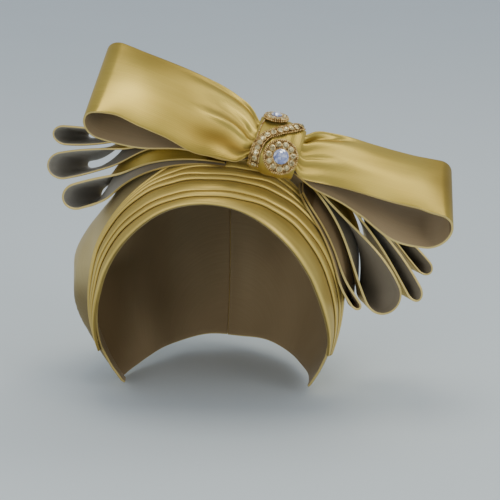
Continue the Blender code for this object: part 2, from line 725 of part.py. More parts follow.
def main():
    """Build every piece."""
    clear_scene()
    collection = bpy.data.collections.new("gele_head_tie")
    bpy.context.scene.collection.children.link(collection)
    cutters = bpy.data.collections.new("cutters")
    bpy.context.scene.collection.children.link(cutters)
    make_cap(collection)
    make_pleats(collection)
    for row in BOW_LOOPS:
        make_bow_loop(row, collection)
    for row in FAN_LOOPS:
        make_fan_loop(row, collection)
    make_knot(collection)
    make_trim(collection, cutters)
    for row in MEDALLIONS:
        make_medallion(row, collection, cutters)


main()
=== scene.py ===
"""A tied gele head tie of stiff olive-gold satin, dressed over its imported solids.

Sizes are millimetres until a point is written to a mesh. The origin is the seat on the crown of
the head, +Z is up, the brow faces -Y, and +X is the side that hangs lower.
"""

from __future__ import annotations

import logging
import math
import random
from collections.abc import Callable, Sequence
from dataclasses import dataclass, field
from enum import Enum

import bmesh
import bpy
from bpy.types import Material, Mesh, Node, NodeSocket, NodeTree, Object
from mathutils import Matrix, Vector, noise

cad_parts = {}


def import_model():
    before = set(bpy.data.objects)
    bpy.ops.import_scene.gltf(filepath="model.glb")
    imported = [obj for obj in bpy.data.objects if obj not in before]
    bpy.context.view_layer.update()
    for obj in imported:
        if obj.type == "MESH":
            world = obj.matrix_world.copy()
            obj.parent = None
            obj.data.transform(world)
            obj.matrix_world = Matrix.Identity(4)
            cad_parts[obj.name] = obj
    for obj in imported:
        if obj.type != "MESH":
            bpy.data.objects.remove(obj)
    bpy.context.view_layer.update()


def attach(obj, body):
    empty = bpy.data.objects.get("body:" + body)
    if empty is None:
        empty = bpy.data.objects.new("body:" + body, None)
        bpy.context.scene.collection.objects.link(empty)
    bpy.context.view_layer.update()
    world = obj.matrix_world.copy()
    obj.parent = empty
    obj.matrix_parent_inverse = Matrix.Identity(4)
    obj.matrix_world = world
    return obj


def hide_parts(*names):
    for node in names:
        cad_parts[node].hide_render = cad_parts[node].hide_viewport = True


MM = 0.001
WELD = 0.00001
UV_NAME = "weave"
# The facet attribute on the stones holds each facet's painted reflection.
FACET_REFLECTION_NAME = "facet"
# The fold attribute on the cloth holds painted light: painted shade in creases, under and between parts, and
# painted highlights on crests.
PAINTED_LIGHT_NAME = "fold"
LOG = logging.getLogger("gele")

Pair = tuple[float, float]
Triple = tuple[float, float, float]
Curve = tuple[Pair, ...]
Place = Callable[[float, float], Vector]
Feed = NodeSocket | float | tuple[float, ...]
Feeds = dict[str | int, Feed]


class Leg(Enum):
    """The leg of a bow loop that a crease lies on."""

    FRONT = "front"
    BACK = "back"


def smooth_step(low: float, high: float, value: float) -> float:
    """Return 0 below low, 1 above high and a smooth rise between.

    Args:
        low: The value where the rise starts.
        high: The value where the rise ends.
        value: The value to place on the rise.

    Returns:
        A share from 0 to 1.
    """
    share = min(max((value - low) / (high - low), 0.0), 1.0)
    return share * share * (3.0 - 2.0 * share)


def blend(first: float, second: float, share: float) -> float:
    """Return the value between first and second at a share."""
    return first + (second - first) * share


def same_turn(turn: float) -> float:
    """Return a turn in degrees brought between -180 and 180."""
    return (turn + 180.0) % 360.0 - 180.0


def hermite(first: float, second: float, slopes: Pair, part: float) -> float:
    """Return a value between two others, on a curve with a slope at each end.

    Args:
        first: The value at the start.
        second: The value at the end.
        slopes: The change over the whole span that the slope at each end would make.
        part: How far along the span, 0 to 1.

    Returns:
        The value there.
    """
    square = part * part
    cube = square * part
    return (
        first * (2.0 * cube - 3.0 * square + 1.0)
        + slopes[0] * (cube - 2.0 * square + part)
        + second * (3.0 * square - 2.0 * cube)
        + slopes[1] * (cube - square)
    )


def on_curve(points: Curve, place: float) -> float:
    """Return the value at a place on a smooth curve, which stays level past both ends.

    Args:
        points: The places, in rising order, each with its value.
        place: The place to read.

    Returns:
        The value there.
    """
    last = len(points) - 1
    if place >= points[last][0]:
        return points[last][1]
    start = max(index for index in range(last) if points[index][0] <= place or index == 0)
    span = points[start + 1][0] - points[start][0]
    slopes = []
    for index in (start, start + 1):
        before, after = points[max(index - 1, 0)], points[min(index + 1, last)]
        slopes.append((after[1] - before[1]) / (after[0] - before[0]) * span)
    part = max(place - points[start][0], 0.0) / span
    return hermite(points[start][1], points[start + 1][1], (slopes[0], slopes[1]), part)


# Forms that the cloth follows


@dataclass(frozen=True)
class HeadForm:
    """The rounded form inside the cap, whose crown is at the origin."""

    half_width: float = 72.0
    half_depth: float = 90.0
    crown_rise: float = 82.0
    crown_fullness: float = 2.1
    neck_taper: float = 0.33
    lowest_taper: float = 1.3
    lowest_facing: float = 0.2
    soft_reach: float = 4.0
    shoulder: float = 9.0
    shoulder_turn: float = -92.0
    shoulder_spread: float = 27.0
    shoulder_top: Pair = (-3.0, -22.0)
    shoulder_end: Pair = (-36.0, -66.0)

    def section(self, height: float) -> float:
        """Return the size of the section at a height, 1 at its widest.

        Args:
            height: Millimetres over the crown seat, so mostly negative.

        Returns:
            The size, 0 to 1.
        """
        above = (height + self.crown_rise) / self.crown_rise
        if above > 0.0:
            return max(1.0 - min(above, 1.0) ** self.crown_fullness, 0.0) ** (1.0 / self.crown_fullness)
        return 1.0 - self.neck_taper * min(-above, self.lowest_taper) ** 3

    def point(self, turn: float, height: float, ease: float) -> Vector:
        """Return a point on the form, moved out along its normal.

        Args:
            turn: Degrees round the head from the brow, positive to +X.
            height: Millimetres over the crown seat, so mostly negative.
            ease: Millimetres out from the form.

        Returns:
            The point in millimetres.
        """
        angle = math.radians(turn)
        size = self.section(height)
        x = self.half_width * math.sin(angle) * size
        y = -self.half_depth * math.cos(angle) * size
        step = 0.5
        change = (self.section(height - step) ** 2 - self.section(height + step) ** 2) / (2.0 * step)
        normal = Vector((2.0 * x / self.half_width**2, 2.0 * y / self.half_depth**2, change))
        if height > -step:
            normal = Vector((0.0, 0.0, 1.0))
        return Vector((x, y, height)) + normal.normalized() * ease

    def drawn_in(self, turn: float, height: float) -> float:
        """Return how far the cloth draws in behind the left fan, where the crown slopes away.

        Args:
            turn: Degrees round the head from the brow, positive to +X.
            height: Millimetres over the crown seat, so mostly negative.

        Returns:
            Millimetres inwards.
        """
        offset = (turn - self.shoulder_turn) / self.shoulder_spread
        level = smooth_step(*self.shoulder_top, height) * (1.0 - smooth_step(*self.shoulder_end, height))
        return self.shoulder * math.exp(-offset * offset) * level

    def ease_at(self, point: Vector) -> tuple[float, Vector]:
        """Return about how far a point stands out from the form, and the way out.

        Args:
            point: A place in millimetres.

        Returns:
            The distance in millimetres and the direction straight out.
        """
        x, y, z = point
        flat = math.hypot(x / self.half_width, y / self.half_depth)
        if z < -self.crown_rise:
            way = Vector((x / self.half_width**2, y / self.half_depth**2, 0.0))
            level = flat / self.section(z)
        else:
            above = (z + self.crown_rise) / self.crown_rise
            level = (flat**self.crown_fullness + above**self.crown_fullness) ** (1.0 / self.crown_fullness)
            side = flat ** (self.crown_fullness - 2.0) if flat > 0.0 else 0.0
            rise = above ** (self.crown_fullness - 1.0) / self.crown_rise
            way = Vector((side * x / self.half_width**2, side * y / self.half_depth**2, rise))
        centre = Vector((0.0, 0.0, min(z, -self.crown_rise)))
        out = Vector(point) - centre
        way.normalize()
        facing = max(out.normalized().dot(way), self.lowest_facing)
        return out.length * (1.0 - 1.0 / max(level, 1e-6)) * facing, way

    def keep_off(self, point: Vector, clearance: float) -> Vector:
        """Return the point moved out until it stands the clearance off the form.

        Args:
            point: A place in millimetres.
            clearance: How far off the form it has to stand; it bends away softly before that.

        Returns:
            The place, moved out if it was too near.
        """
        turn = math.degrees(math.atan2(point.x / self.half_width, -point.y / self.half_depth))
        clearance -= self.drawn_in(turn, point.z)
        near = self.ease_at(point)[0] - clearance
        soft = self.soft_reach
        if near >= soft:
            return point
        wanted = clearance + (near + soft) ** 2 / (4.0 * soft) if near > -soft else clearance
        for _ in range(3):
            ease, way = self.ease_at(point)
            if ease >= wanted:
                break
            point = point + way * (wanted - ease)
        return point


@dataclass(frozen=True)
class ArchStation:
    """One station along the brow: turns and heights of the face edge and of both back edges."""

    share: float
    face_turn: float
    face_height: float
    left_turn: float
    left_height: float
    right_turn: float
    right_height: float


@dataclass(frozen=True)
class BrowArch:
    """The arch of the brow pleats, from the middle of the brow to each ear."""

    stations: tuple[ArchStation, ...] = (
        ArchStation(0.00, 0.0, -33.5, 0.0, -12.5, 0.0, -12.5),
        ArchStation(0.15, 14.7, -36.0, 19.0, -16.5, 24.0, -14.5),
        ArchStation(0.30, 27.0, -43.5, 34.5, -27.0, 41.5, -21.5),
        ArchStation(0.45, 38.4, -57.0, 46.0, -41.0, 52.5, -33.5),
        ArchStation(0.60, 48.2, -75.0, 55.0, -59.0, 62.0, -51.0),
        ArchStation(0.70, 54.0, -89.0, 60.5, -77.0, 70.0, -68.0),
        ArchStation(0.80, 60.0, -104.0, 66.5, -96.0, 78.0, -89.0),
        ArchStation(0.90, 66.0, -118.0, 73.5, -116.0, 81.5, -111.0),
        ArchStation(1.00, 71.0, -131.0, 81.0, -135.0, 82.0, -135.0),
    )

    def value(self, share: float, column: str) -> float:
        """Return one column of the arch, on a smooth curve through its stations.

        Args:
            share: How far along from the middle of the brow, 0 to 1.
            column: The name of the station's field.

        Returns:
            The turn in degrees or the height in millimetres.
        """
        sign = -1.0 if column.endswith("turn") else 1.0
        second = self.stations[1]
        mirrored = (-second.share, sign * getattr(second, column))
        points = (mirrored, *((row.share, getattr(row, column)) for row in self.stations))
        return on_curve(points, share)

    def place(self, along: float, across: float) -> Pair:
        """Return the turn and height of a place: along from -1 to 1, ear to ear, across face to back.

        Args:
            along: The place from ear to ear, -1 to 1.
            across: The share across the band, from the face edge to the back.

        Returns:
            Degrees round and millimetres high.
        """
        share = abs(along)
        side = "left" if along < 0.0 else "right"
        turn = blend(self.value(share, "face_turn"), self.value(share, side + "_turn"), across)
        height = blend(self.value(share, "face_height"), self.value(share, side + "_height"), across)
        return math.copysign(turn, along), height


@dataclass(frozen=True)
class Clearances:
    """The walls of the cloth and the small gaps between its layers."""

    cloth: float = 1.2
    cap_ease: float = 1.8
    cap_wall: float = 1.5
    seat_gap: float = 0.3
    pleat_gap: float = 0.5
    pleat_wall: float = 1.1
    pleat_step: float = 1.9
    fan_spacing: float = 0.5
    fan_clearance: float = 0.4


# Cloth meshes


def cloth_line(place: Place, fixed: float, steps: int, lengthwise: bool) -> list[float]:
    """Return the length of a line on the cloth up to each of its steps, in metres.

    Args:
        place: The function that places the cloth.
        fixed: The share at which the line lies across the other way.
        steps: How many steps the line is measured in.
        lengthwise: True for a line along u, False for one along v.

    Returns:
        The lengths, from 0 to the whole line.
    """
    lengths = [0.0]
    before = place(0.0, fixed) if lengthwise else place(fixed, 0.0)
    for step in range(1, steps + 1):
        share = step / steps
        point = place(share, fixed) if lengthwise else place(fixed, share)
        lengths.append(lengths[-1] + (point - before).length * MM)
        before = point
    return lengths


def new_piece(name: str, mesh: Mesh, finishes: tuple[Material, ...]) -> Object:
    """Return a new object for a mesh, linked, dressed and shaded smooth.

    Args:
        name: Its name.
        mesh: Its mesh.
        finishes: Its materials, in the order of their places.

    Returns:
        The object.
    """
    for finish in finishes:
        mesh.materials.append(finish)
    piece = bpy.data.objects.new(name, mesh)
    bpy.context.scene.collection.objects.link(piece)
    mesh.polygons.foreach_set("use_smooth", [True] * len(mesh.polygons))
    return piece


def select_only(piece: Object) -> None:
    """Make a piece the one selected, active object.

    Args:
        piece: The piece.
    """
    bpy.ops.object.select_all(action="DESELECT")
    piece.select_set(True)
    bpy.context.view_layer.objects.active = piece


def round_edges(piece: Object, width: float, angle: float) -> None:
    """Give a piece a bevel, of a width in metres, on each edge sharper than an angle in degrees.

    Args:
        piece: The piece.
        width: The bevel's width.
        angle: The least angle that is rounded.
    """
    edge = piece.modifiers.new("edge", "BEVEL")
    edge.width = width
    edge.segments = 2
    edge.limit_method = "ANGLE"
    edge.angle_limit = math.radians(angle)


def dress_node(piece: Object, node: str) -> None:
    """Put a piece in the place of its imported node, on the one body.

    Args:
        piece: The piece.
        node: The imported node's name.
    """
    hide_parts(node)
    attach(piece, "root")


def apply_modifiers(piece: Object) -> None:
    """Apply every modifier of a piece, in order.

    Args:
        piece: The piece.
    """
    select_only(piece)
    for modifier in list(piece.modifiers):
        bpy.ops.object.modifier_apply(modifier=modifier.name)


@dataclass(frozen=True)
class ClothSheet:
    """A sheet of cloth laid out by a place function and given its wall and round edges."""

    name: str
    columns: int
    rows: int
    wall: float
    edge_round: float = 0.42
    edge_angle: float = 50.0

    def make(
        self,
        place: Place,
        finishes: tuple[Material, ...],
        spread: Callable[[float, float], Pair] | None = None,
        tone: Callable[[float, float], float] | None = None,
    ) -> Object:
        """Make the sheet.

        Args:
            place: Gives the middle of the cloth in millimetres at shares u and v.
            finishes: The right side, the wrong side and the folded edge.
            spread: Gives the flat place of u and v in metres, where it isn't a plain rectangle.
            tone: Gives the fold tone of u and v, which is painted light: 0 painted darkest, as deep in a
                crease, 0.5 flat, 1 painted lightest, as on a crest.

        Returns:
            The finished piece.
        """
        wide = cloth_line(place, 0.5, self.columns, True)
        long = cloth_line(place, 0.25, self.rows, False)
        shape = bmesh.new()
        weave = shape.loops.layers.uv.new(UV_NAME)
        bmesh.ops.create_grid(shape, x_segments=self.columns, y_segments=self.rows, size=0.5)
        for face in shape.faces:
            for corner in face.loops:
                u = corner.vert.co.x + 0.5
                v = corner.vert.co.y + 0.5
                flat = (wide[round(u * self.columns)], long[round(v * self.rows)])
                corner[weave].uv = spread(u, v) if spread else flat
        # Each vertex keeps its fold tone: painted shade below 0.5, painted highlight above it.
        fold = shape.verts.layers.float.new(PAINTED_LIGHT_NAME)
        for vertex in shape.verts:
            u = vertex.co.x + 0.5
            v = vertex.co.y + 0.5
            vertex[fold] = tone(u, v) if tone else 0.5
            vertex.co = place(u, v) * MM
        bmesh.ops.remove_doubles(shape, verts=shape.verts, dist=WELD)
        middle = sum((vertex.co for vertex in shape.verts), Vector()) / len(shape.verts)
        shape.normal_update()
        outward = 0.0
        for face in shape.faces:
            outward += face.normal.dot(face.calc_center_median() - middle) * face.calc_area()
        if outward < 0.0:
            bmesh.ops.reverse_faces(shape, faces=shape.faces)
        mesh = bpy.data.meshes.new(self.name)
        shape.to_mesh(mesh)
        shape.free()
        piece = new_piece(self.name, mesh, finishes)
        wall = piece.modifiers.new("wall", "SOLIDIFY")
        wall.thickness = self.wall * MM
        wall.offset = 0.0
        wall.use_even_offset = True
        wall.material_offset = 1
        wall.material_offset_rim = 2
        round_edges(piece, self.edge_round * self.wall * MM, self.edge_angle)
        apply_modifiers(piece)
        mesh.polygons.foreach_set("use_smooth", [True] * len(mesh.polygons))
        return piece


def teardrop(
    length: float,
    half_gap: float,
    root_half_gap: float,
    nose: float,
    sag: float,
    power: float,
    share: float,
    leg_share: float = 0.37,
) -> Pair:
    """Return the place on a loop seen end-on: out along one leg, round the nose and back.

    Args:
        length: The loop's length.
        half_gap: Half its width at the nose.
        root_half_gap: Half its width at the root.
        nose: The length of its round nose.
        sag: How far its middle bows.
        power: How late the legs open.
        share: The share of the columns round the loop, 0 to 1.
        leg_share: The share of the columns that each leg takes.

    Returns:
        The distance from the root and the offset from the middle line.
    """
    leg = length - nose
    if leg_share < share < 1.0 - leg_share:
        angle = math.pi * (0.5 - (share - leg_share) / (1.0 - 2.0 * leg_share))
        along = leg + nose * math.cos(angle)
        offset = half_gap * math.sin(angle)
    else:
        part = min(share, 1.0 - share) / leg_share
        along = leg * part
        gap = blend(root_half_gap, half_gap, math.sin(math.pi / 2.0 * part) ** power)
        offset = gap if share < 0.5 else -gap
    return along, offset - sag * math.sin(math.pi * along / length)


# Finishes


def feed(tree: NodeTree, node: Node, inputs: Feeds) -> None:
    """Link a node's inputs to the sockets given, or set them to the numbers given.

    Args:
        tree: The node tree.
        node: The node.
        inputs: A socket or a number for each input.
    """
    for key, value in inputs.items():
        if isinstance(value, NodeSocket):
            tree.links.new(value, node.inputs[key])
        else:
            node.inputs[key].default_value = value


def add_node(tree: NodeTree, kind: str, inputs: Feeds | None = None, **values: object) -> Node:
    """Return a new node with its properties set and its inputs fed.

    Args:
        tree: The node tree.
        kind: The node's type.
        inputs: A socket or a number for each input.
        values: Its properties.

    Returns:
        The node.
    """
    node = tree.nodes.new(kind)
    for key, value in values.items():
        setattr(node, key, value)
    feed(tree, node, inputs or {})
    return node


def math_node(tree: NodeTree, operation: str, first: Feed, second: Feed = 0.0) -> NodeSocket:
    """Return the output of a math node whose inputs are sockets or numbers."""
    return add_node(tree, "ShaderNodeMath", {0: first, 1: second}, operation=operation).outputs[0]


def mix_colour(tree: NodeTree, share: Feed, first: Feed, second: Feed, how: str = "MIX") -> NodeSocket:
    """Return the mix of two colours, each a socket or three numbers.

    Args:
        tree: The node tree.
        share: How much of the second colour there is.
        first: The first colour.
        second: The second colour.
        how: The way the colours are mixed.

    Returns:
        The mixed colour.
    """
    inputs = {0: share}
    for key, colour in ((6, first), (7, second)):
        inputs[key] = colour if isinstance(colour, NodeSocket) else (*colour, 1.0)
    return add_node(tree, "ShaderNodeMix", inputs, data_type="RGBA", blend_type=how).outputs[2]


def three_tones(tree: NodeTree, share: NodeSocket, low: Triple, middle: Triple, high: Triple) -> NodeSocket:
    """Return the colour at a share from 0 to 1 on a ramp through three colours.

    Args:
        tree: The node tree.
        share: The place on the ramp.
        low: The colour at 0.
        middle: The colour at 0.5.
        high: The colour at 1.

    Returns:
        The colour there.
    """
    ramp = add_node(tree, "ShaderNodeValToRGB", {0: share})
    ramp.color_ramp.elements.new(0.5)
    for stop, colour in zip(ramp.color_ramp.elements, (low, middle, high)):
        stop.color = (*colour, 1.0)
    return ramp.outputs[0]


def new_group(name: str, inputs: dict[str, str], outputs: dict[str, str]) -> NodeTree:
    """Return a new shader node group with its named sockets.

    Args:
        name: The group's name.
        inputs: The kind of socket for each input's name.
        outputs: The kind of socket for each output's name.

    Returns:
        The group, with its input and output nodes named "in" and "out".
    """
    group = bpy.data.node_groups.new(name, "ShaderNodeTree")
    for way, sockets in (("INPUT", inputs), ("OUTPUT", outputs)):
        for label, kind in sockets.items():
            group.interface.new_socket(label, in_out=way, socket_type="NodeSocket" + kind)
    add_node(group, "NodeGroupInput", name="in")
    add_node(group, "NodeGroupOutput", name="out")
    return group


@dataclass(frozen=True)
class WeaveGroup:
    """The ribs and the slubs of a stiff satin, in metres of flat cloth."""

    name: str = "satin_weave"
    rib_pitch: float = 0.0011
    slubs: Triple = (26.0, 900.0, 1.0)
    slub_detail: float = 3.0

    def build(self) -> NodeTree:
        """Return the group: ribs and slubs in, height and shade out.

        Returns:
            The node group.
        """
        group = new_group(
            self.name,
            {"Flat": "Vector", "Rib Depth": "Float", "Slub Depth": "Float"},
            {"Height": "Float", "Shade": "Float"},
        )
        source = group.nodes["in"].outputs
        parts = add_node(group, "ShaderNodeSeparateXYZ", {0: source["Flat"]})
        turn = math_node(group, "MULTIPLY", parts.outputs[1], 2.0 * math.pi / self.rib_pitch)
        ribs = math_node(group, "MULTIPLY", math_node(group, "SINE", turn), source["Rib Depth"])
        stretch = add_node(group, "ShaderNodeMapping", {"Vector": source["Flat"], "Scale": self.slubs})
        grain = {"Vector": stretch.outputs[0], "Scale": 1.0, "Detail": self.slub_detail}
        slub = add_node(group, "ShaderNodeTexNoise", grain).outputs["Fac"]
        slubs = math_node(group, "MULTIPLY", math_node(group, "SUBTRACT", slub, 0.5), source["Slub Depth"])
        feed(group, group.nodes["out"], {"Height": math_node(group, "ADD", ribs, slubs), "Shade": slub})
        return group


@dataclass(frozen=True)
class ToneGroup:
    """The slow change of tone over a surface that is handled and folded."""

    name: str = "slow_tone"
    scale: float = 17.0
    detail: float = 2.0
    middle: Pair = (0.32, 0.68)

    def build(self) -> NodeTree:
        """Return the group: a place in, a tone from 0 to 1 out.

        Returns:
            The node group.
        """
        group = new_group(self.name, {"Place": "Vector"}, {"Tone": "Float"})
        place = group.nodes["in"].outputs["Place"]
        size = {"Vector": place, "Scale": self.scale, "Detail": self.detail}
        cloud = add_node(group, "ShaderNodeTexNoise", size)
        reach = {"Value": cloud.outputs["Fac"], "From Min": self.middle[0], "From Max": self.middle[1]}
        spread = add_node(group, "ShaderNodeMapRange", reach, interpolation_type="SMOOTHSTEP")
        feed(group, group.nodes["out"], {"Tone": spread.outputs[0]})
        return group


@dataclass(frozen=True)
class PaintedFoldShadeGroup:
    """The painted shade in a crease and the painted highlight along a crest, from the fold tone painted on
    the cloth.
    """

    name: str = "painted_fold_shade"
    # Colours that multiply the cloth: painted shade in a crease, nothing on the flat, a painted highlight on
    # a crest.
    crease: Triple = (0.36, 0.30, 0.21)
    flat: Triple = (1.0, 1.0, 1.0)
    crest: Triple = (1.45, 1.45, 1.45)

    def build(self) -> NodeTree:
        """Return the group: a colour and a fold tone in, the colour with its painted shade and highlight out.

        Returns:
            The node group.
        """
        group = new_group(self.name, {"Color": "Color", "Fold": "Float"}, {"Color": "Color"})
        source = group.nodes["in"].outputs
        shade = three_tones(group, source["Fold"], self.crease, self.flat, self.crest)
        shaded = mix_colour(group, 1.0, source["Color"], shade, "MULTIPLY")
        feed(group, group.nodes["out"], {"Color": shaded})
        return group


@dataclass(frozen=True)
class SharedGroups:
    """The node groups that the finishes share."""

    weave: NodeTree
    tone: NodeTree
    # The group that paints shade and highlight from the fold tone.
    fold: NodeTree


def new_material(name: str) -> tuple[Material, NodeTree, Node]:
    """Return a new material, its node tree and its shader.

    Args:
        name: Its name.

    Returns:
        The material, its tree and its shader.
    """
    material = bpy.data.materials.new(name)
    material.use_nodes = True
    return material, material.node_tree, material.node_tree.nodes["Principled BSDF"]


def slow_tone(tree: NodeTree, groups: SharedGroups, scale: float = 1.0) -> NodeSocket:
    """Return the slow tone at each spot of a material, its changes closer together by a scale.

    Args:
        tree: The node tree.
        groups: The node groups that the finishes share.
        scale: How many times closer the changes lie.

    Returns:
        The tone, 0 to 1.
    """
    place = add_node(tree, "ShaderNodeTexCoord").outputs["Object"]
    if scale != 1.0:
        place = add_node(tree, "ShaderNodeMapping", {"Vector": place, "Scale": (scale,) * 3}).outputs[0]
    return add_node(tree, "ShaderNodeGroup", {"Place": place}, node_tree=groups.tone).outputs["Tone"]


@dataclass(frozen=True)
class SatinFinish:
    """One side of the satin."""

    name: str
    light: Triple
    deep: Triple
    roughness: float
    metallic: float
    sheen: float
    rib_depth: float = 0.35
    slub_depth: float = 1.0
    bump: float = 0.10
    bump_distance: float = 0.0003
    # How much of the fold tone's painted shade and highlight the finish keeps.
    painted_fold_share: float = 1.0
    grain_share: float = 0.55
    tone_share: float = 0.45
    roughness_spread: float = 0.16
    specular: float = 0.3
    specular_tint: Triple = (1.0, 0.87, 0.58)
    sheen_roughness: float = 0.35
    sheen_tint: Triple = (1.0, 0.92, 0.74)

    def build(self, groups: SharedGroups) -> Material:
        """Return the satin material.

        Args:
            groups: The node groups that the finishes share.

        Returns:
            The material.
        """
        material, tree, shader = new_material(self.name)
        flat = add_node(tree, "ShaderNodeUVMap", uv_map=UV_NAME).outputs[0]
        depths = {"Flat": flat, "Rib Depth": self.rib_depth, "Slub Depth": self.slub_depth}
        weave = add_node(tree, "ShaderNodeGroup", depths, node_tree=groups.weave)
        grain = math_node(tree, "MULTIPLY", weave.outputs["Shade"], self.grain_share)
        tone = math_node(tree, "MULTIPLY", slow_tone(tree, groups), self.tone_share)
        colour = mix_colour(tree, math_node(tree, "ADD", grain, tone), self.deep, self.light)
        # Painted light: the fold tone darkens creases and lightens crests in the base colour.
        fold = add_node(tree, "ShaderNodeAttribute", attribute_name=PAINTED_LIGHT_NAME).outputs["Fac"]
        kept = math_node(tree, "MULTIPLY", fold, self.painted_fold_share)
        kept = math_node(tree, "ADD", kept, 0.5 - 0.5 * self.painted_fold_share)
        shade = add_node(tree, "ShaderNodeGroup", {"Color": colour, "Fold": kept}, node_tree=groups.fold)
        spread = math_node(tree, "MULTIPLY", weave.outputs["Shade"], self.roughness_spread)
        bump = {"Strength": self.bump, "Distance": self.bump_distance, "Height": weave.outputs["Height"]}
        shader_inputs = {
            "Base Color": shade.outputs["Color"],
            "Roughness": math_node(tree, "ADD", spread, self.roughness - self.roughness_spread / 2.0),
            "Normal": add_node(tree, "ShaderNodeBump", bump).outputs[0],
            "Metallic": self.metallic,
            "Specular IOR Level": self.specular,
            "Specular Tint": (*self.specular_tint, 1.0),
            "Sheen Weight": self.sheen,
            "Sheen Roughness": self.sheen_roughness,
            "Sheen Tint": (*self.sheen_tint, 1.0),
        }
        feed(tree, shader, shader_inputs)
        return material


@dataclass(frozen=True)
class GoldFinish:
    """The warm gold of the settings and of the seed beads."""

    name: str = "warm_gold"
    light: Triple = (0.80, 0.60, 0.27)
    deep: Triple = (0.36, 0.21, 0.07)
    roughness: float = 0.26
    roughness_spread: float = 0.12
    tone_scale: float = 30.0

    def build(self, groups: SharedGroups) -> Material:
        """Return the gold material.

        Args:
            groups: The node groups that the finishes share.

        Returns:
            The material.
        """
        material, tree, shader = new_material(self.name)
        tone = slow_tone(tree, groups, self.tone_scale)
        spread = math_node(tree, "MULTIPLY", tone, self.roughness_spread)
        roughness = math_node(tree, "ADD", spread, self.roughness)
        colour = mix_colour(tree, tone, self.deep, self.light)
        feed(tree, shader, {"Base Color": colour, "Roughness": roughness, "Metallic": 1.0})
        return material


@dataclass(frozen=True)
class CrystalFinish:
    """A cut stone whose facets each show their own painted reflection, from dark through the stone's tint to
    pale.
    """

    name: str
    # Painted facet reflections, darkest and palest, and the stone's own tint between them.
    painted_dark: Triple
    painted_pale: Triple
    tint: Triple
    cloud_share: float = 0.15
    roughness: float = 0.06
    metallic: float = 0.35
    refraction: float = 1.75
    coat: float = 0.3
    coat_roughness: float = 0.03

    def build(self, groups: SharedGroups) -> Material:
        """Return the stone's material.

        Args:
            groups: The node groups that the finishes share.

        Returns:
            The material.
        """
        material, tree, shader = new_material(self.name)
        facet = add_node(tree, "ShaderNodeAttribute", attribute_name=FACET_REFLECTION_NAME).outputs["Fac"]
        own = three_tones(tree, facet, self.painted_dark, self.tint, self.painted_pale)
        faint = math_node(tree, "MULTIPLY", slow_tone(tree, groups), self.cloud_share)
        shader_inputs = {
            "Base Color": mix_colour(tree, faint, own, self.painted_pale),
            "Roughness": self.roughness,
            "Metallic": self.metallic,
            "IOR": self.refraction,
            "Coat Weight": self.coat,
            "Coat Roughness": self.coat_roughness,
        }
        feed(tree, shader, shader_inputs)
        return material


class Finish(Enum):
    """Every finish of the head tie."""

    RIGHT_SIDE = SatinFinish("satin_right_side", (0.53, 0.405, 0.10), (0.37, 0.265, 0.05), 0.33, 0.72, 0.04)
    PLEATS = SatinFinish("satin_pleats", (0.54, 0.405, 0.115), (0.36, 0.255, 0.06), 0.40, 0.5, 0.1)
    CAP = SatinFinish("satin_cap", (0.45, 0.365, 0.18), (0.30, 0.235, 0.11), 0.46, 0.4, 0.1)
    # A darker copy of the satin: painted shade for the loop that lies in shadow.
    PAINTED_SHADE = SatinFinish("satin_painted_shade", (0.28, 0.20, 0.11), (0.18, 0.125, 0.065), 0.5, 0.1, 0.1)
    WRONG_SIDE = SatinFinish("satin_wrong_side", (0.305, 0.228, 0.130), (0.207, 0.150, 0.080), 0.52, 0.0, 0.1)
    FAN_INSIDE = SatinFinish("satin_fan_inside", (0.42, 0.40, 0.365), (0.275, 0.258, 0.222), 0.5, 0.0, 0.1)
    # A darker, browner copy of the fan's inside: painted shade inside the right fan's loops.
    FAN_INSIDE_PAINTED_SHADE = SatinFinish("satin_fan_inside_painted_shade", (0.29, 0.252, 0.19), (0.183, 0.152, 0.11), 0.5, 0.0, 0.1)
    # The folded edge shows the gold right side, painted lighter than the right side as a painted highlight
    # where the edge catches the light.
    FOLD_EDGE_HIGHLIGHT = SatinFinish(
        "satin_fold_edge_highlight", (0.66, 0.52, 0.20), (0.50, 0.38, 0.13), 0.4, 0.45, 0.1, painted_fold_share=0.3
    )
    GOLD = GoldFinish()
    # A darker copy of the gold, painted shade, for the medallions' backings and the trim strip.
    GOLD_PAINTED_SHADE = GoldFinish("gold_painted_shade", (0.26, 0.165, 0.06), (0.12, 0.07, 0.025), 0.42)
    CLEAR_STONE = CrystalFinish("clear_stone", (0.035, 0.024, 0.008), (0.80, 0.70, 0.36), (0.28, 0.20, 0.065))
    BLUE_STONE = CrystalFinish("blue_stone", (0.06, 0.065, 0.17), (0.90, 0.93, 0.99), (0.23, 0.27, 0.50))


Palette = dict[Finish, Material]


# Sub-assemblies


@dataclass
class Wearing:
    """What every sub-assembly needs: the head, the brow arch, the clearances and the finishes."""

    head: HeadForm
    arch: BrowArch
    gaps: Clearances
    palette: Palette

    def satin(self, outside: Finish, inside: Finish = Finish.WRONG_SIDE) -> tuple[Material, ...]:
        """Return the finishes of a sheet: its outside, its inside and its folded edge, painted lighter as a
        highlight.
        """
        return tuple(self.palette[finish] for finish in (outside, inside, Finish.FOLD_EDGE_HIGHLIGHT))


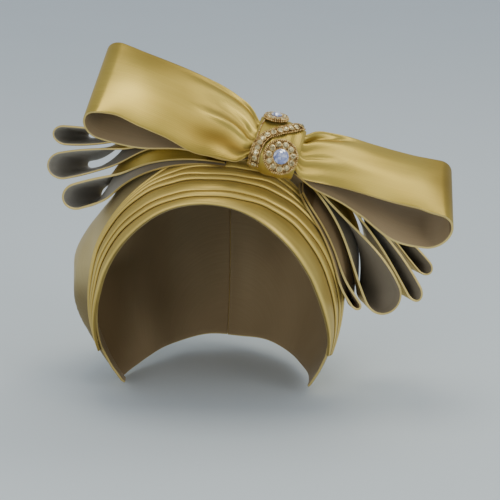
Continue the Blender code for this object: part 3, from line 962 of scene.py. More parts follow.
@dataclass
class CrownCap:
    """The shell of cloth over the top, the back and the sides of the head."""

    wearing: Wearing
    hem_height: float = -157.0
    nape_rise: float = 6.0
    nape_turns: Pair = (110.0, 170.0)
    hem_turn: float = 76.0
    hem_drop_turn: float = 6.0
    back_fullness: float = 7.0
    back_turns: Pair = (112.0, 160.0)
    back_top: Pair = (-30.0, -85.0)
    back_taper: float = 0.75
    back_taper_start: float = -112.0
    side_fullness_high: float = 9.7
    side_fullness_low: float = 11.3
    side_turn: float = -90.0
    side_spread: float = 26.0
    side_start_high: float = -66.0
    side_start_low: float = -87.0
    side_start_spread: float = 10.0
    side_start_heights: Pair = (-75.0, -135.0)
    side_top: Pair = (-56.0, -84.0)
    side_low: Pair = (-80.0, -118.0)
    side_taper: float = 0.5
    fold_depth: float = 1.6
    folds: int = 9
    fold_top: Pair = (-20.0, -70.0)
    under_pleats: float = 0.34
    dent_depth: float = 0.9
    dent_turn: float = 3.1
    dent_height: float = 26.0
    dent_place: float = 4.2
    dent_turns: Pair = (84.0, 104.0)
    dent_top: Pair = (-34.0, -60.0)
    flat_reach: float = 0.19
    # Painted light on the cap: a painted shadow under the bow, and on the -X side painted light higher up and
    # painted shade lower down.
    bow_shade_heights: Pair = (-62.0, -22.0)
    bow_shade_depths: Pair = (10.0, -20.0)
    bow_shade_sides: Pair = (10.0, 40.0)
    bow_shades: Pair = (0.08, 0.62)
    side_shade_sides: Pair = (-48.0, -68.0)
    side_shade_heights: Pair = (-78.0, -104.0)
    side_shades: Pair = (0.42, -0.36)
    columns: int = 200
    rows: int = 80

    def ease(self, turn: float, height: float) -> float:
        """Return how far the cap stands off the head: snug in front, full on the left and behind.

        Args:
            turn: Degrees round the head from the brow, positive to +X.
            height: Millimetres over the crown seat, so mostly negative.

        Returns:
            Millimetres out from the head form.
        """
        turn = same_turn(turn)
        behind = smooth_step(*self.back_turns, abs(turn))
        taper = self.back_taper * smooth_step(self.back_taper_start, self.hem_height, height)
        back = self.back_fullness * behind * smooth_step(*self.back_top, height) * (1.0 - taper)
        offset = (turn - self.side_turn) / self.side_spread
        full = blend(self.side_fullness_high, self.side_fullness_low, smooth_step(*self.side_low, height))
        full *= smooth_step(*self.side_top, height)
        full *= 1.0 - self.side_taper * smooth_step(self.side_low[1], self.hem_height, height)
        low = smooth_step(*self.side_start_heights, height)
        start = blend(self.side_start_high, self.side_start_low, low)
        full *= smooth_step(start, start - self.side_start_spread, turn) if turn < 0.0 else 0.0
        side = full * math.exp(-offset * offset)
        folds = self.fold_depth * math.sin(self.folds * math.radians(turn)) * behind
        level = self.wearing.gaps.cap_ease + max(back, side) + folds * smooth_step(*self.fold_top, height)
        return level - self.wearing.head.drawn_in(turn, height)

    def edge(self, turn: float) -> float:
        """Return the height of the lower edge at a turn: under the pleats, then the hem.

        Args:
            turn: Degrees round the head from the brow, positive to +X.

        Returns:
            Millimetres over the crown seat.
        """
        turn = same_turn(turn)
        arch = self.wearing.arch
        nape = self.hem_height + self.nape_rise * smooth_step(*self.nape_turns, abs(turn))
        if abs(turn) >= self.hem_turn:
            joint = arch.place(math.copysign(1.0, turn), self.under_pleats)[1]
            drop = smooth_step(self.hem_turn, self.hem_turn + self.hem_drop_turn, abs(turn))
            return blend(joint, nape, drop)
        low, high = 0.0, 1.0
        for _ in range(24):
            middle = (low + high) / 2.0
            if abs(arch.place(math.copysign(middle, turn), self.under_pleats)[0]) < abs(turn):
                low = middle
            else:
                high = middle
        return arch.place(math.copysign(low, turn), self.under_pleats)[1]

    def slack(self, turn: float, height: float) -> float:
        """Return the small soft dents that a cap pulled over a head keeps.

        Args:
            turn: Degrees round the head from the brow, positive to +X.
            height: Millimetres over the crown seat, so mostly negative.

        Returns:
            Millimetres out, below 0 in a dent.
        """
        spot = Vector((math.radians(turn) * self.dent_turn, height / self.dent_height, self.dent_place))
        free = smooth_step(*self.dent_turns, abs(same_turn(turn))) * smooth_step(*self.dent_top, height)
        return self.dent_depth * noise.noise(spot) * free

    def make(self) -> Object:
        """Return the cap.

        Returns:
            The finished piece.
        """
        head = self.wearing.head
        per_degree = head.crown_rise * math.pi / 180.0
        edges = [self.edge(360.0 * column / self.columns - 180.0) for column in range(self.columns + 1)]

        def place(u: float, v: float) -> Vector:
            """Place the cap: u goes round the head, v from the crown to the edge.

            Args:
                u: The share one way, 0 to 1.
                v: The share the other way, 0 to 1.

            Returns:
                The point in millimetres.
            """
            turn = 360.0 * u - 180.0
            edge = edges[min(round(u * self.columns), self.columns)]
            if edge > -head.crown_rise:
                edge_angle = math.degrees(math.acos(1.0 + edge / head.crown_rise))
            else:
                edge_angle = 90.0 + (-head.crown_rise - edge) / per_degree
            angle = edge_angle * v
            if angle <= 90.0:
                height = -head.crown_rise * (1.0 - math.cos(math.radians(angle)))
            else:
                height = -head.crown_rise - (angle - 90.0) * per_degree
            return head.point(turn, height, self.ease(turn, height) + self.slack(turn, height))

        def spread(u: float, v: float) -> Pair:
            """Return the flat place of a point: the cloth lies flat over the crown.

            Args:
                u: The share one way, 0 to 1.
                v: The share the other way, 0 to 1.

            Returns:
                The flat place in metres.
            """
            angle = 2.0 * math.pi * u
            reach = self.flat_reach * v
            return reach * math.sin(angle), reach * math.cos(angle)

        def tone(u: float, v: float) -> float:
            """Return the fold tone, all painted light here: a painted shadow under the bow, and behind the
            pleats on the -X side painted light higher up and painted shade lower down.

            Args:
                u: The share one way, 0 to 1.
                v: The share the other way, 0 to 1.

            Returns:
                The painted tone: 0 as dark as deep in a crease, 0.5 flat, 1 as light as on a crest.
            """
            point = place(u, v)
            # A painted shadow under the bow, deeper towards +X.
            under = smooth_step(*self.bow_shade_heights, point.z)
            under *= smooth_step(*self.bow_shade_depths, point.y)
            under *= blend(*self.bow_shades, smooth_step(*self.bow_shade_sides, point.x))
            # On the -X side: painted light above, painted shade below.
            side = smooth_step(*self.side_shade_sides, point.x)
            side *= blend(*self.side_shades, smooth_step(*self.side_shade_heights, point.z))
            return 0.5 - under + side

        sheet = ClothSheet("crown_cap_cloth", self.columns, self.rows, self.wearing.gaps.cap_wall)
        piece = sheet.make(place, self.wearing.satin(Finish.CAP), spread, tone)
        dress_node(piece, "crown_cap")
        return piece


@dataclass(frozen=True)
class PleatPoint:
    """One point round the pleated band: its place across, its lift (None inside) and its painted tone, dark
    in a crevice and light on a ridge.
    """

    across: float
    lift: float | None
    tone: float


@dataclass(frozen=True)
class RidgeStation:
    """Where the folded edges lie across the band at one place from ear (-1) to ear (1)."""

    along: float
    ridges: tuple[float, ...]


@dataclass
class BrowPleats:
    """The band of folded pleats over the brow, each folded edge over the one below it."""

    wearing: Wearing
    cap: CrownCap
    stations: tuple[RidgeStation, ...] = (
        RidgeStation(-1.00, (0.0, 0.24, 0.47, 0.80, 0.885, 0.945, 1.0)),
        RidgeStation(-0.60, (0.0, 0.30, 0.49, 0.81, 0.885, 0.945, 1.0)),
        RidgeStation(-0.45, (0.0, 0.32, 0.48, 0.81, 0.885, 0.945, 1.0)),
        RidgeStation(-0.30, (0.0, 0.25, 0.40, 0.72, 0.84, 0.925, 1.0)),
        RidgeStation(-0.15, (0.0, 0.18, 0.31, 0.565, 0.69, 0.80, 1.0)),
        RidgeStation(0.00, (0.0, 0.17, 0.28, 0.51, 0.61, 0.76, 1.0)),
        RidgeStation(0.15, (0.0, 0.21, 0.33, 0.54, 0.64, 0.79, 1.0)),
        RidgeStation(0.30, (0.0, 0.30, 0.40, 0.61, 0.75, 0.89, 1.0)),
        RidgeStation(0.45, (0.0, 0.38, 0.50, 0.71, 0.81, 0.92, 1.0)),
        RidgeStation(0.60, (0.0, 0.39, 0.56, 0.80, 0.875, 0.94, 1.0)),
        RidgeStation(1.00, (0.0, 0.33, 0.61, 0.80, 0.875, 0.94, 1.0)),
    )
    tuck: float = 0.07
    end_lift: float = 0.25
    end_start: float = 0.72
    under: float = 0.030
    # Points tucked under and rolled round each folded edge: offset across, lift, painted tone.
    tucked: tuple[Triple, ...] = ((1.0, 0.02, 0.0), (0.4, 0.16, 0.05))
    nose: float = 0.015
    nose_span: float = 2.2
    rolled: tuple[Triple, ...] = ((-0.5, 0.30, 0.25), (-1.0, 0.58, 0.75), (-0.5, 0.86, 1.0), (0.8, 1.0, 1.0))
    # Painted shade before each folded edge, a painted highlight along it.
    shade_width: float = 0.055
    shade: float = 0.48
    shine_width: float = 0.030
    shine: float = 0.42
    slope_power: float = 1.3
    slope_start: float = 2.0
    slope_tuck: float = 0.6
    length: float = 0.42
    width: float = 27.0
    drift: float = 0.006
    drift_pace: Pair = (2.6, 9.0)
    drift_place: float = 1.3
    columns: int = 190
    slope_steps: int = 10
    inner_rows: int = 12

    def ridges(self, along: float) -> list[float]:
        """Return where the folded edges lie across the band, on smooth lines from ear to ear.

        Args:
            along: The place from ear to ear, -1 to 1.

        Returns:
            The share across of each folded edge, from the face to the back.
        """
        place = 0
        while place < len(self.stations) - 2 and along > self.stations[place + 1].along:
            place += 1
        first, second = self.stations[place], self.stations[place + 1]
        share = smooth_step(first.along, second.along, along)
        even = (along - first.along) / (second.along - first.along)
        return [blend(low, high, (share + even) / 2.0) for low, high in zip(first.ridges, second.ridges)]

    def profile(self, along: float) -> list[PleatPoint]:
        """Return the points round the band at one place: its folds outside and its smooth inside.

        Args:
            along: The place from ear to ear, -1 to 1.

        Returns:
            The points, in their order round the band.
        """
        points = []
        ridges = self.ridges(along)
        for index, ridge in enumerate(ridges):
            for off, lift, tone in self.tucked if index else ():
                points.append(PleatPoint(ridge + self.under * off, lift, tone))
            for off, lift, tone in self.rolled:
                points.append(PleatPoint(ridge + self.nose * off, lift, tone))
            last = index + 1 == len(ridges)
            wide = (self.tuck if last else ridges[index + 1] - ridge) - self.nose * self.nose_span
            for step in range(1, self.slope_steps + 1):
                share = step / self.slope_steps
                lift = 1.0 - share if last else math.cos(math.pi / 2.0 * share**self.slope_power)
                # Painted shade in the crevice under the next folded edge, painted highlight along this one.
                painted_dark = smooth_step(wide - self.shade_width, wide + self.under, wide * share)
                painted_highlight = 1.0 - smooth_step(0.0, self.shine_width, wide * share)
                tone = 0.5 + self.shine * painted_highlight - (0.0 if last else self.shade * painted_dark)
                across = ridge + self.nose * self.slope_start + (wide + self.under * self.slope_tuck) * share
                points.append(PleatPoint(across, lift, tone))
        back = ridges[-1] + self.tuck
        for step in range(self.inner_rows + 1):
            points.append(PleatPoint(back * (1.0 - step / self.inner_rows), None, 0.5))
        return points

    def make(self) -> Object:
        """Return the pleated band.

        Returns:
            The finished piece.
        """
        columns = [self.profile(2.0 * step / self.columns - 1.0) for step in range(self.columns + 1)]
        rows = columns[self.columns // 2]
        head = self.wearing.head
        gaps = self.wearing.gaps
        shape = bmesh.new()
        weave = shape.loops.layers.uv.new(UV_NAME)
        bmesh.ops.create_grid(shape, x_segments=self.columns, y_segments=len(rows), size=0.5)
        flat = [0.0]
        for first, second in zip(rows, rows[1:] + rows[:1]):
            rise = ((second.lift or 0.0) - (first.lift or 0.0)) * gaps.pleat_step
            flat.append(flat[-1] + math.hypot((second.across - first.across) * self.width, rise) * MM)
        for face in shape.faces:
            for corner in face.loops:
                row = round((corner.vert.co.y + 0.5) * len(rows))
                corner[weave].uv = ((corner.vert.co.x + 0.5) * self.length, flat[row])
        fold = shape.verts.layers.float.new(PAINTED_LIGHT_NAME)
        for vertex in shape.verts:
            column = round((vertex.co.x + 0.5) * self.columns)
            along = 2.0 * column / self.columns - 1.0
            point = columns[column][round((vertex.co.y + 0.5) * len(rows)) % len(rows)]
            drift = 0.0
            if point.lift is not None:
                spot = (along * self.drift_pace[0], point.across * self.drift_pace[1], self.drift_place)
                drift = self.drift * noise.noise(Vector(spot))
            turn, height = self.wearing.arch.place(along, point.across + drift)
            inner = self.cap.ease(turn, height) + gaps.cap_wall / 2.0 + gaps.pleat_gap
            vertex[fold] = point.tone
            if point.lift is not None:
                fade = blend(self.end_lift, 1.0, smooth_step(1.0, self.end_start, abs(along)))
                inner += gaps.pleat_wall + gaps.pleat_step * fade * point.lift
            vertex.co = head.point(turn, height, inner) * MM
        bmesh.ops.remove_doubles(shape, verts=shape.verts, dist=WELD)
        bmesh.ops.holes_fill(shape, edges=[edge for edge in shape.edges if edge.is_boundary])
        bmesh.ops.recalc_face_normals(shape, faces=shape.faces)
        mesh = bpy.data.meshes.new("brow_pleats_cloth")
        shape.to_mesh(mesh)
        shape.free()
        piece = new_piece("brow_pleats_cloth", mesh, (self.wearing.palette[Finish.PLEATS],))
        dress_node(piece, "brow_pleats")
        return piece


@dataclass(frozen=True)
class Crease:
    """A soft fold that runs out from the knot across one leg of a bow loop."""

    leg: Leg
    root_across: float
    end_across: float
    start: float
    end: float
    depth: float
    width: float
    rise_end: float = 0.15
    fall_start: float = 0.35
    widening: float = 0.8

    def depth_at(self, along: float, across: float) -> float:
        """Return how far the cloth moves out at a place on the leg.

        Args:
            along: Millimetres out from the root.
            across: The share across the band, low edge to high.

        Returns:
            Millimetres out from the leg.
        """
        run = min(max((along - self.start) / (self.end - self.start), 0.0), 1.0)
        line = blend(self.root_across, self.end_across, run)
        fade = smooth_step(0.0, self.rise_end, run) * (1.0 - smooth_step(self.fall_start, 1.0, run))
        off = (across - line) / (self.width * (1.0 + self.widening * run))
        return self.depth * fade * math.exp(-off * off)


@dataclass(frozen=True)
class PaintedShadePatch:
    """A soft patch of painted shade (below 0) or painted highlight (above 0) on one leg of a bow loop."""

    leg: Leg
    along: float
    across: float
    long: float
    wide: float
    tone: float

    def tone_at(self, along: float, across: float) -> float:
        """Return what the patch adds to the fold tone, as painted shade below 0 and painted highlight above
        it, at a place on the leg.
        """
        off = ((along - self.along) / self.long) ** 2 + ((across - self.across) / self.wide) ** 2
        return self.tone * math.exp(-off)


@dataclass
class ClothLoop:
    """A strip of cloth turned back on itself, as the loops of the bow and of the fans are."""

    wearing: Wearing
    node: str
    root: Triple
    tip: Triple
    half_gap: float
    nose: float
    sag: float
    power: float
    root_half_gap: float = field(default=3.3, kw_only=True)
    columns: int = field(default=120, kw_only=True)
    rows: int = field(default=48, kw_only=True)
    rests_on: tuple[str, ...] = field(default=(), kw_only=True)

    @property
    def length(self) -> float:
        """The loop's length in millimetres."""
        return (Vector(self.tip) - Vector(self.root)).length

    def end_view(self, u: float) -> Pair:
        """Return how far out, and how far off the middle line, the cloth lies at a share round it."""
        return teardrop(self.length, self.half_gap, self.root_half_gap, self.nose, self.sag, self.power, u)

    def sew(
        self, finishes: tuple[Material, ...], slot: str, width: float, cut: float | None = None
    ) -> Object:
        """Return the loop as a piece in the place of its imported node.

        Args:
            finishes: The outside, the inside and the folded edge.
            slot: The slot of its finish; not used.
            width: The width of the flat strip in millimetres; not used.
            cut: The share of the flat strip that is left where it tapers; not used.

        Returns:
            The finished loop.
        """
        sheet = ClothSheet(self.node + "_cloth", self.columns, self.rows, self.wearing.gaps.cloth)
        piece = sheet.make(self.place, finishes, tone=self.tone)
        dress_node(piece, self.node)
        around = (2.0 * self.length + (math.pi - 2.0) * self.half_gap) * MM
        list(self.rests_on)
        return piece


@dataclass
class BowLoop(ClothLoop):
    """One big hollow loop of the bow."""

    root_lean: float
    tip_lean: float
    spread: float
    width: float
    flare: float
    bulge: float
    low: dict[Leg, Curve]
    high: dict[Leg, Curve]
    creases: tuple[Crease, ...] = ()
    # Patches of painted shade and painted highlight on the legs.
    painted_patches: tuple[PaintedShadePatch, ...] = ()
    gathers: int = 3
    gather_depth: float = 1.15
    gather_reach: float = 24.0
    # How strongly the gathers and creases are painted: painted shade in their hollows, painted highlight on
    # their ridges.
    gather_painted_tone: float = 0.22
    crease_painted_tone: float = 0.06
    back_gather: float = 0.6
    lean_reach: float = 0.8
    bulge_start: Pair = (3.0, 26.0)
    bulge_end: Pair = (0.72, 1.0)
    bulge_fall: float = 0.3

    def directions(self, share: float) -> tuple[Vector, Vector, Vector]:
        """Return the axis, width and outward directions at a share of the length.

        Args:
            share: The share of the length, 0 to 1.

        Returns:
            The axis, width and outward directions.
        """
        axis = (Vector(self.tip) - Vector(self.root)).normalized()
        lean = math.radians(blend(self.root_lean, self.tip_lean, smooth_step(0.0, self.lean_reach, share)))
        width = Vector((self.spread, math.sin(lean), math.cos(lean)))
        width = (width - axis * width.dot(axis)).normalized()
        outward = axis.cross(width)
        return axis, width, -outward if outward.y > 0.0 else outward

    def folds(self, leg: Leg, along: float, v: float) -> Pair:
        """Return the rise of the gathers, -1 to 1, and that of the creases in millimetres, at a place."""
        gather = math.sin(2.0 * math.pi * self.gathers * v) * math.exp(-along / self.gather_reach)
        return gather, sum(crease.depth_at(along, v) for crease in self.creases if crease.leg is leg)

    def place(self, u: float, v: float) -> Vector:
        """Place the loop: u goes out, round the nose and back, v across the band.

        Args:
            u: The share one way, 0 to 1.
            v: The share the other way, 0 to 1.

        Returns:
            The point in millimetres.
        """
        along, offset = self.end_view(u)
        share = along / self.length
        axis, width, outward = self.directions(share)
        leg = Leg.FRONT if u < 0.5 else Leg.BACK
        band = blend(-on_curve(self.low[leg], along), on_curve(self.high[leg], along), v)
        reach = along + self.flare * (v - 0.5) * share
        gather, crease = self.folds(leg, along, v)
        shift = self.gather_depth * gather * (1.0 if offset > 0.0 else self.back_gather) + crease
        if leg is Leg.FRONT:
            round_off = smooth_step(*self.bulge_start, along) * (1.0 - smooth_step(*self.bulge_end, share))
            arch = 4.0 * v * (1.0 - v) - 0.5 - self.bulge_fall * (1.0 - v)
            shift += self.bulge * arch * round_off
        return Vector(self.root) + axis * reach + width * band + outward * (offset + shift)

    def tone(self, u: float, v: float) -> float:
        """Return the fold tone, all painted light: painted shade and highlight along the gathers by the knot
        and the creases, and the painted patches.

        Args:
            u: The share one way, 0 to 1.
            v: The share the other way, 0 to 1.

        Returns:
            The painted tone: 0 as dark as deep in a crease, 0.5 flat, 1 as light as on a crest.
        """
        along = self.end_view(u)[0]
        leg = Leg.FRONT if u < 0.5 else Leg.BACK
        gather, crease = self.folds(leg, along, v)
        painted_patches = sum(patch.tone_at(along, v) for patch in self.painted_patches if patch.leg is leg)
        return min(max(0.5 + self.gather_painted_tone * gather + self.crease_painted_tone * crease + painted_patches, 0.0), 1.0)

    def make(self) -> Object:
        """Return the bow loop."""
        return self.sew(self.wearing.satin(Finish.RIGHT_SIDE), "satin_bow", self.width)


@dataclass
class FanLoop(ClothLoop):
    """One loop of the fan: a strip of cloth that tapers to its root."""

    layer: int
    root_depth: float
    tip_depth: float
    root_rise: float
    tip_rise: float
    lean_in: float
    back_half_gap: float
    back_short: float
    outside: Finish = Finish.RIGHT_SIDE
    inside: Finish = Finish.FAN_INSIDE_PAINTED_SHADE
    # Painted light by the root: the painted tone of the lower leg and of the upper leg there, painted shade
    # where the loop tucks in and painted shade towards its back.
    root_painted_tone: float = 0.22
    root_shade: Pair = (0.0, 0.62)
    upper_painted_tone: float = 0.22
    tuck_painted_shade: float = 1.7
    tuck_shares: Pair = (0.03, 0.15)
    back_painted_shade: float = 0.04
    depth_shares: Pair = (0.0, 0.9)
    rise_shares: Pair = (0.3, 0.95)
    lower_leg: Pair = (0.4, 0.6)
    wave_depth: float = 0.5
    wave_length: float = 17.0
    wave_pace: float = 2.0
    wave_step: float = 3.7
    taper: float = 0.72
    root_half_gap: float = field(default=0.72, kw_only=True)
    columns: int = field(default=92, kw_only=True)
    rows: int = field(default=30, kw_only=True)

    def clearance(self, u: float) -> float:
        """Return how far the cloth keeps off the head at a share round the loop.

        Args:
            u: The share round the loop, 0 to 1.

        Returns:
            Millimetres off the head form.
        """
        gaps = self.wearing.gaps
        spacing = gaps.cloth + gaps.seat_gap + gaps.fan_spacing
        over = gaps.cap_ease + gaps.cap_wall / 2.0 + gaps.pleat_gap + gaps.pleat_wall + gaps.pleat_step
        over += gaps.seat_gap + gaps.cloth / 2.0 + gaps.fan_clearance
        upper = 1.0 - smooth_step(*self.lower_leg, u)
        return over + spacing * (2.0 * self.layer + upper)

    def place(self, u: float, v: float) -> Vector:
        """Place the loop: u goes out, round the nose and back, v from the front to the back.

        Args:
            u: The share one way, 0 to 1.
            v: The share the other way, 0 to 1.

        Returns:
            The point in millimetres.
        """
        head = self.wearing.head
        root = Vector(self.root)
        axis = Vector(self.tip) - root
        half_gap = blend(self.half_gap, self.back_half_gap, v)
        nose = self.nose * half_gap / self.half_gap
        length = self.length * (1.0 - self.back_short * v)
        along, offset = teardrop(length, half_gap, self.root_half_gap, nose, self.sag, self.power, u)
        share = along / axis.length
        way = axis.normalized()
        lift = Vector((0.0, 1.0, 0.0)).cross(way)
        if lift.dot(Vector(self.tip) - Vector((0.0, self.tip[1], -head.crown_rise))) < 0.0:
            lift = -lift
        lift.normalize()
        depth = blend(self.root_depth, self.tip_depth, smooth_step(*self.depth_shares, share))
        rise = blend(self.root_rise, self.tip_rise, smooth_step(*self.rise_shares, share))
        point = root + way * along + lift * offset
        point += Vector((self.lean_in, 1.0, rise)).normalized() * depth * v
        start = self.layer * self.wave_step + self.root[0]
        spot = Vector((along / self.wave_length, v * self.wave_pace, start))
        wave = self.wave_depth * noise.noise(spot) * share
        return head.keep_off(point + lift * wave * v, self.clearance(u))

    def tone(self, u: float, v: float) -> float:
        """Return the fold tone, painted light: painted shade towards the loop's root, between its neighbours,
        and towards its back.

        Args:
            u: The share one way, 0 to 1.
            v: The share the other way, 0 to 1.

        Returns:
            The painted tone: 0 as dark as deep in a crease, 0.5 flat, 1 as light as on a crest.
        """
        share = self.end_view(u)[0] / self.length
        tucked = 1.0 - smooth_step(*self.tuck_shares, share)
        root = blend(self.upper_painted_tone, self.root_painted_tone, smooth_step(*self.lower_leg, u))
        shaded = blend(root, 0.5, smooth_step(*self.root_shade, share))
        return shaded - self.tuck_painted_shade * tucked - self.back_painted_shade * v

    def make(self) -> Object:
        """Return the fan loop."""
        finishes = self.wearing.satin(self.outside, self.inside)
        return self.sew(finishes, "satin_fan", self.tip_depth, self.taper)


@dataclass
class KnotWrap:
    """The band of satin drawn round the pinch of the bow."""

    wearing: Wearing
    centre: Triple = (38.5, -57.0, -2.7)
    axis: Triple = (0.94, 0.0, -0.30)
    lean: float = 57.0
    length: float = 26.0
    half_width: float = 16.5
    end_width: float = 15.0
    half_height: float = 10.0
    end_height: float = 7.2
    under_height: float = 13.6
    squareness: float = 0.8
    around: float = 92.0
    fold_depth: float = 0.22
    folds: float = 3.4
    fold_drift: float = 0.25
    columns: int = 120
    rows: int = 36

    def directions(self) -> tuple[Vector, Vector, Vector, Vector]:
        """Return the centre and the axis, width and outward directions.

        Returns:
            The centre in millimetres and the three directions.
        """
        axis = Vector(self.axis).normalized()
        lean = math.radians(self.lean)
        width = Vector((0.0, math.sin(lean), math.cos(lean)))
        width = (width - axis * width.dot(axis)).normalized()
        outward = axis.cross(width)
        return Vector(self.centre), axis, width, -outward if outward.y > 0.0 else outward

    def surface(self, along: float, around: float, lift: float = 0.0) -> Vector:
        """Return a point on the knot.

        Args:
            along: Millimetres along the axis from the middle.
            around: Degrees round it from straight out, positive to the back.
            lift: Millimetres added to both half sizes.

        Returns:
            The point in millimetres.
        """
        centre, axis, width, outward = self.directions()
        end = abs(2.0 * along / self.length)
        angle = math.radians(around)
        crown = self.half_height if math.cos(angle) > 0.0 else self.under_height
        half_height = blend(crown, crown - self.half_height + self.end_height, end * end) + lift
        half_width = blend(self.half_width, self.end_width, end * end) + lift
        across = math.copysign(abs(math.sin(angle)) ** self.squareness, math.sin(angle))
        above = math.copysign(abs(math.cos(angle)) ** self.squareness, math.cos(angle))
        return centre + axis * along + width * half_width * across + outward * half_height * above

    def normal(self, along: float, around: float) -> Vector:
        """Return the direction straight out of the knot at a place on it.

        Args:
            along: Millimetres along the axis from the middle.
            around: Degrees round it from straight out.

        Returns:
            The direction.
        """
        step = 0.5
        lengthwise = self.surface(along + step, around) - self.surface(along - step, around)
        roundwise = self.surface(along, around + step) - self.surface(along, around - step)
        outward = lengthwise.cross(roundwise).normalized()
        centre, axis = self.directions()[:2]
        away = self.surface(along, around) - centre - axis * along
        return outward if outward.dot(away) > 0.0 else -outward

    def stand(self, along: float, around: float, height: float, turn: float = 0.0) -> Matrix:
        """Return the placement, in metres, that stands a jewel over a place on the knot.

        Args:
            along: Millimetres along the axis from the middle.
            around: Degrees round it from straight out.
            height: Millimetres over the knot.
            turn: The jewel's own turn in radians.

        Returns:
            The placement.
        """
        outward = self.normal(along, around)
        spot = self.surface(along, around) + outward * height
        facing = outward.to_track_quat("Z", "Y").to_matrix().to_4x4()
        return Matrix.Translation(spot * MM) @ facing @ Matrix.Rotation(turn, 4, "Z")

    def make(self) -> Object:
        """Return the knot wrap.

        Returns:
            The finished piece.
        """

        def place(u: float, v: float) -> Vector:
            """Place the wrap: u goes round it, v along its axis, with soft folds round it.

            Args:
                u: The share one way, 0 to 1.
                v: The share the other way, 0 to 1.

            Returns:
                The point in millimetres.
            """
            along = self.length * (v - 0.5)
            drift = self.fold_drift * math.sin(2.0 * math.pi * u)
            fold = self.fold_depth * math.sin(2.0 * math.pi * (self.folds * v + drift))
            return self.surface(along, 360.0 * u, fold)

        sheet = ClothSheet("knot_wrap_cloth", self.columns, self.rows, self.wearing.gaps.cloth)
        piece = sheet.make(place, self.wearing.satin(Finish.RIGHT_SIDE))
        dress_node(piece, "knot_wrap")
        flat = (self.length * MM, self.around * MM)
        return piece


# Jewels


def raised(height: float) -> Matrix:
    """Return a shift straight up by a height in millimetres."""
    return Matrix.Translation((0.0, 0.0, height * MM))


def turned(turn: float) -> Matrix:
    """Return a turn round Z by an angle in radians."""
    return Matrix.Rotation(turn, 4, "Z")


@dataclass(frozen=True)
class BeadRow:
    """One ring of beads on a medallion: how far past its circle, how high, and how far apart."""

    past: float
    height: float
    pitch: float


